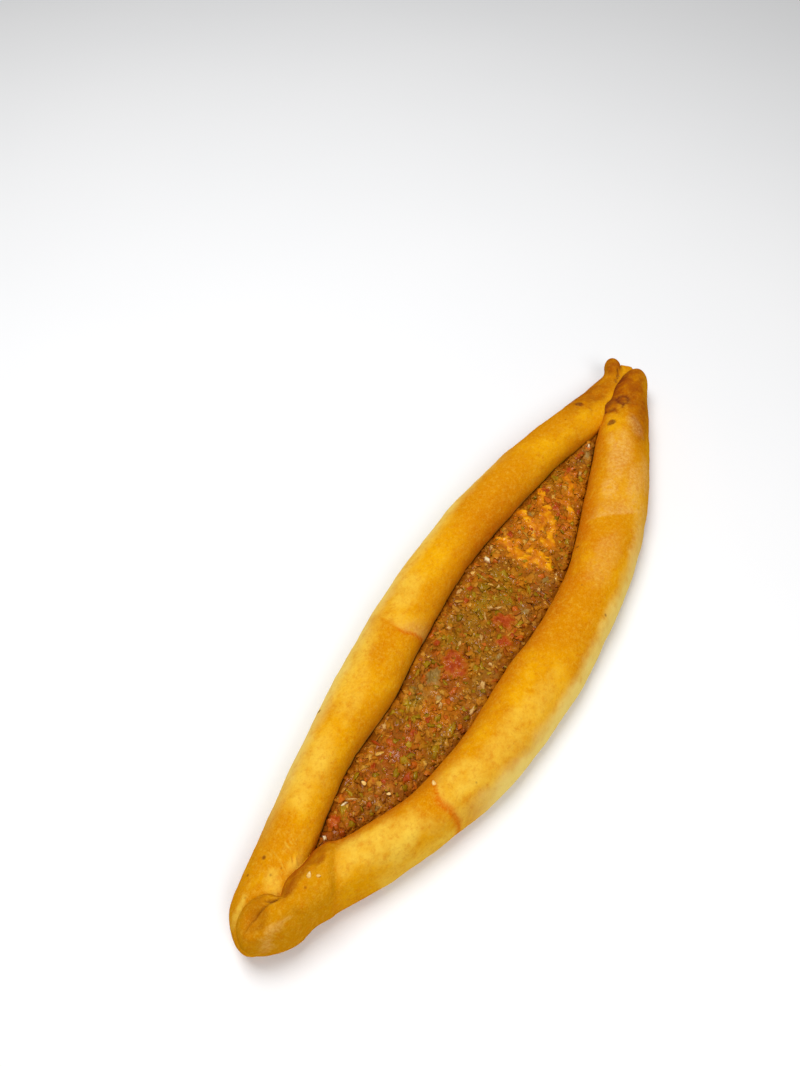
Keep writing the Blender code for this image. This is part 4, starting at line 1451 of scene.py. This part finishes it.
# ---------------------------------------------------------------------------------------------
# Stage
# ---------------------------------------------------------------------------------------------

CAMERA_PLACE, CAMERA_HEADING = (-0.2292, -0.0741, 0.403), (0.8612, 0.5083)
CAMERA_DIP, CAMERA_LENS = 54.1, 28.8
FLOOR_SIDE, FLOOR_DROP = 3, 0.0003
# Place, side and watts of each light.
LIGHTS = {"ceiling_panel": ((0.05, 0.35, 1.1), 0.6, 10),
          "front_panel": ((-0.45, -0.6, 0.9), 0.6, 5.5)}
ROOM_LIGHT = 0.24


def aimed(obj, place, sight):
    """Put a camera or a light at a place, looking along a line of sight."""
    obj.location = place
    obj.rotation_euler = sight.to_track_quat("-Z", "Y").to_euler()


def camera():
    """The camera from which the bread is looked at."""
    data = bpy.data.cameras.new("camera")
    data.lens, data.sensor_width = CAMERA_LENS, 36
    data.clip_start = 0.01
    obj = show("camera", data)
    dip = math.radians(CAMERA_DIP)
    heading = Vector(CAMERA_HEADING).normalized() * math.cos(dip)
    aimed(obj, CAMERA_PLACE, Vector((heading.x, heading.y, -math.sin(dip))))
    bpy.context.scene.camera = obj


def area_light(name, place, size, watts):
    """A square panel of light that faces the middle of the bread."""
    data = bpy.data.lights.new(name, "AREA")
    data.shape, data.size, data.energy = "SQUARE", size, watts
    aimed(show(name, data), place, -Vector(place))


def studio():
    """The room's light, its panels and a floor just under the bread."""
    world = bpy.data.worlds.new("studio")
    world.use_nodes = True
    back = world.node_tree.nodes["Background"]
    back.inputs["Color"].default_value = (1.0, 1.0, 1.0, 1)
    back.inputs["Strength"].default_value = ROOM_LIGHT
    bpy.context.scene.world = world
    for name, light in LIGHTS.items():
        area_light(name, *light)
    bpy.context.scene.view_settings.view_transform = "Standard"
    corners = [(FLOOR_SIDE * x, FLOOR_SIDE * y, -FLOOR_DROP)
               for x, y in ((-1, -1), (1, -1), (1, 1), (-1, 1))]
    floor = show("floor", new_mesh("floor", corners, [(0, 1, 2, 3)]))
    floor.data.materials.append(finish("pale_floor", paint_floor))


# ---------------------------------------------------------------------------------------------

skin = crust_skin()
SHIFT = frame_shift(skin)
pale_seeds = seeds(skin)
piece("crust_skin", skin, finish("baked_dough", paint_crust), "baked_dough", "crust")
SEED = finish("pale_seed", paint_bit((200, 142, 56), (222, 174, 88), (240, 208, 140)))
piece("pale_seeds", pale_seeds, SEED, "baked_dough")

core = filling_core()
scatter = scatter_tree()
for name, (paint, slot, (share_from, share_to), own) in GRAINS.items():
    material = finish(name, paint)
    settings = {**SHARED, **own, "Share_From": share_from, "Share_To": share_to}
    piece(name, grown(name, core.copy(), scatter, **settings, Material=material), material, slot)
piece("filling_core", core, finish("filling_core", BROWN_MINCE), "cooked_mince", "meat_filling")

CHEESE_TONES = (172, 82, 0), (206, 122, 0), (232, 166, 4)
CHEESE = finish("melted_cheese", paint_bit(*CHEESE_TONES, grain_size=2.2))
# The last finish, near-white, is for the painted glints.
TOMATO, PEPPER, GREY_PEPPER, ONION, PAINTED_GLINT = (
    finish(name, paint_bit(*tones))
    for name, *tones in (("cooked_tomato", (132, 42, 6), (164, 64, 10), (194, 106, 34)),
                         ("cooked_pepper", (118, 86, 0), (148, 112, 4), (178, 144, 32)),
                         ("grey_pepper", (108, 80, 28), (142, 108, 48), (174, 142, 84)),
                         ("cooked_onion", (170, 124, 50), (196, 152, 84), (224, 190, 132)),
                         ("glistening_fat", (196, 168, 110), (226, 208, 160), (250, 240, 214))))
for name in STRANDS:
    piece(name + "_film", cheese_film(name), CHEESE, "melted_cheese", name)
for name, place in TOPPINGS.items():
    if name.startswith("tomato"):
        pulp = draped(name, [place], pulp_relief, *PIECE_FINENESS)
        piece(name + "_pulp", pulp, TOMATO, "cooked_tomato", name)
    else:
        material = GREY_PEPPER if name == "pepper_piece_1" else PEPPER
        pepper = draped(name, [place], pepper_relief, *PIECE_FINENESS)
        piece(name + "_skin", pepper, material, "cooked_pepper", name)
for name, material, slot, relief in (
        ("pepper_chips", PEPPER, "cooked_pepper", pepper_relief),
        ("grey_chips", GREY_PEPPER, "cooked_pepper", pepper_relief),
        ("tomato_chips", TOMATO, "cooked_tomato", pulp_relief),
        ("onion_chips", ONION, "cooked_mince", pepper_relief),
        ("glistening_chips", PAINTED_GLINT, "cooked_mince", pepper_relief)):
    piece(name, draped(name, CHIPS[name], relief, *CHIP_FINENESS), material, slot)

camera()
studio()
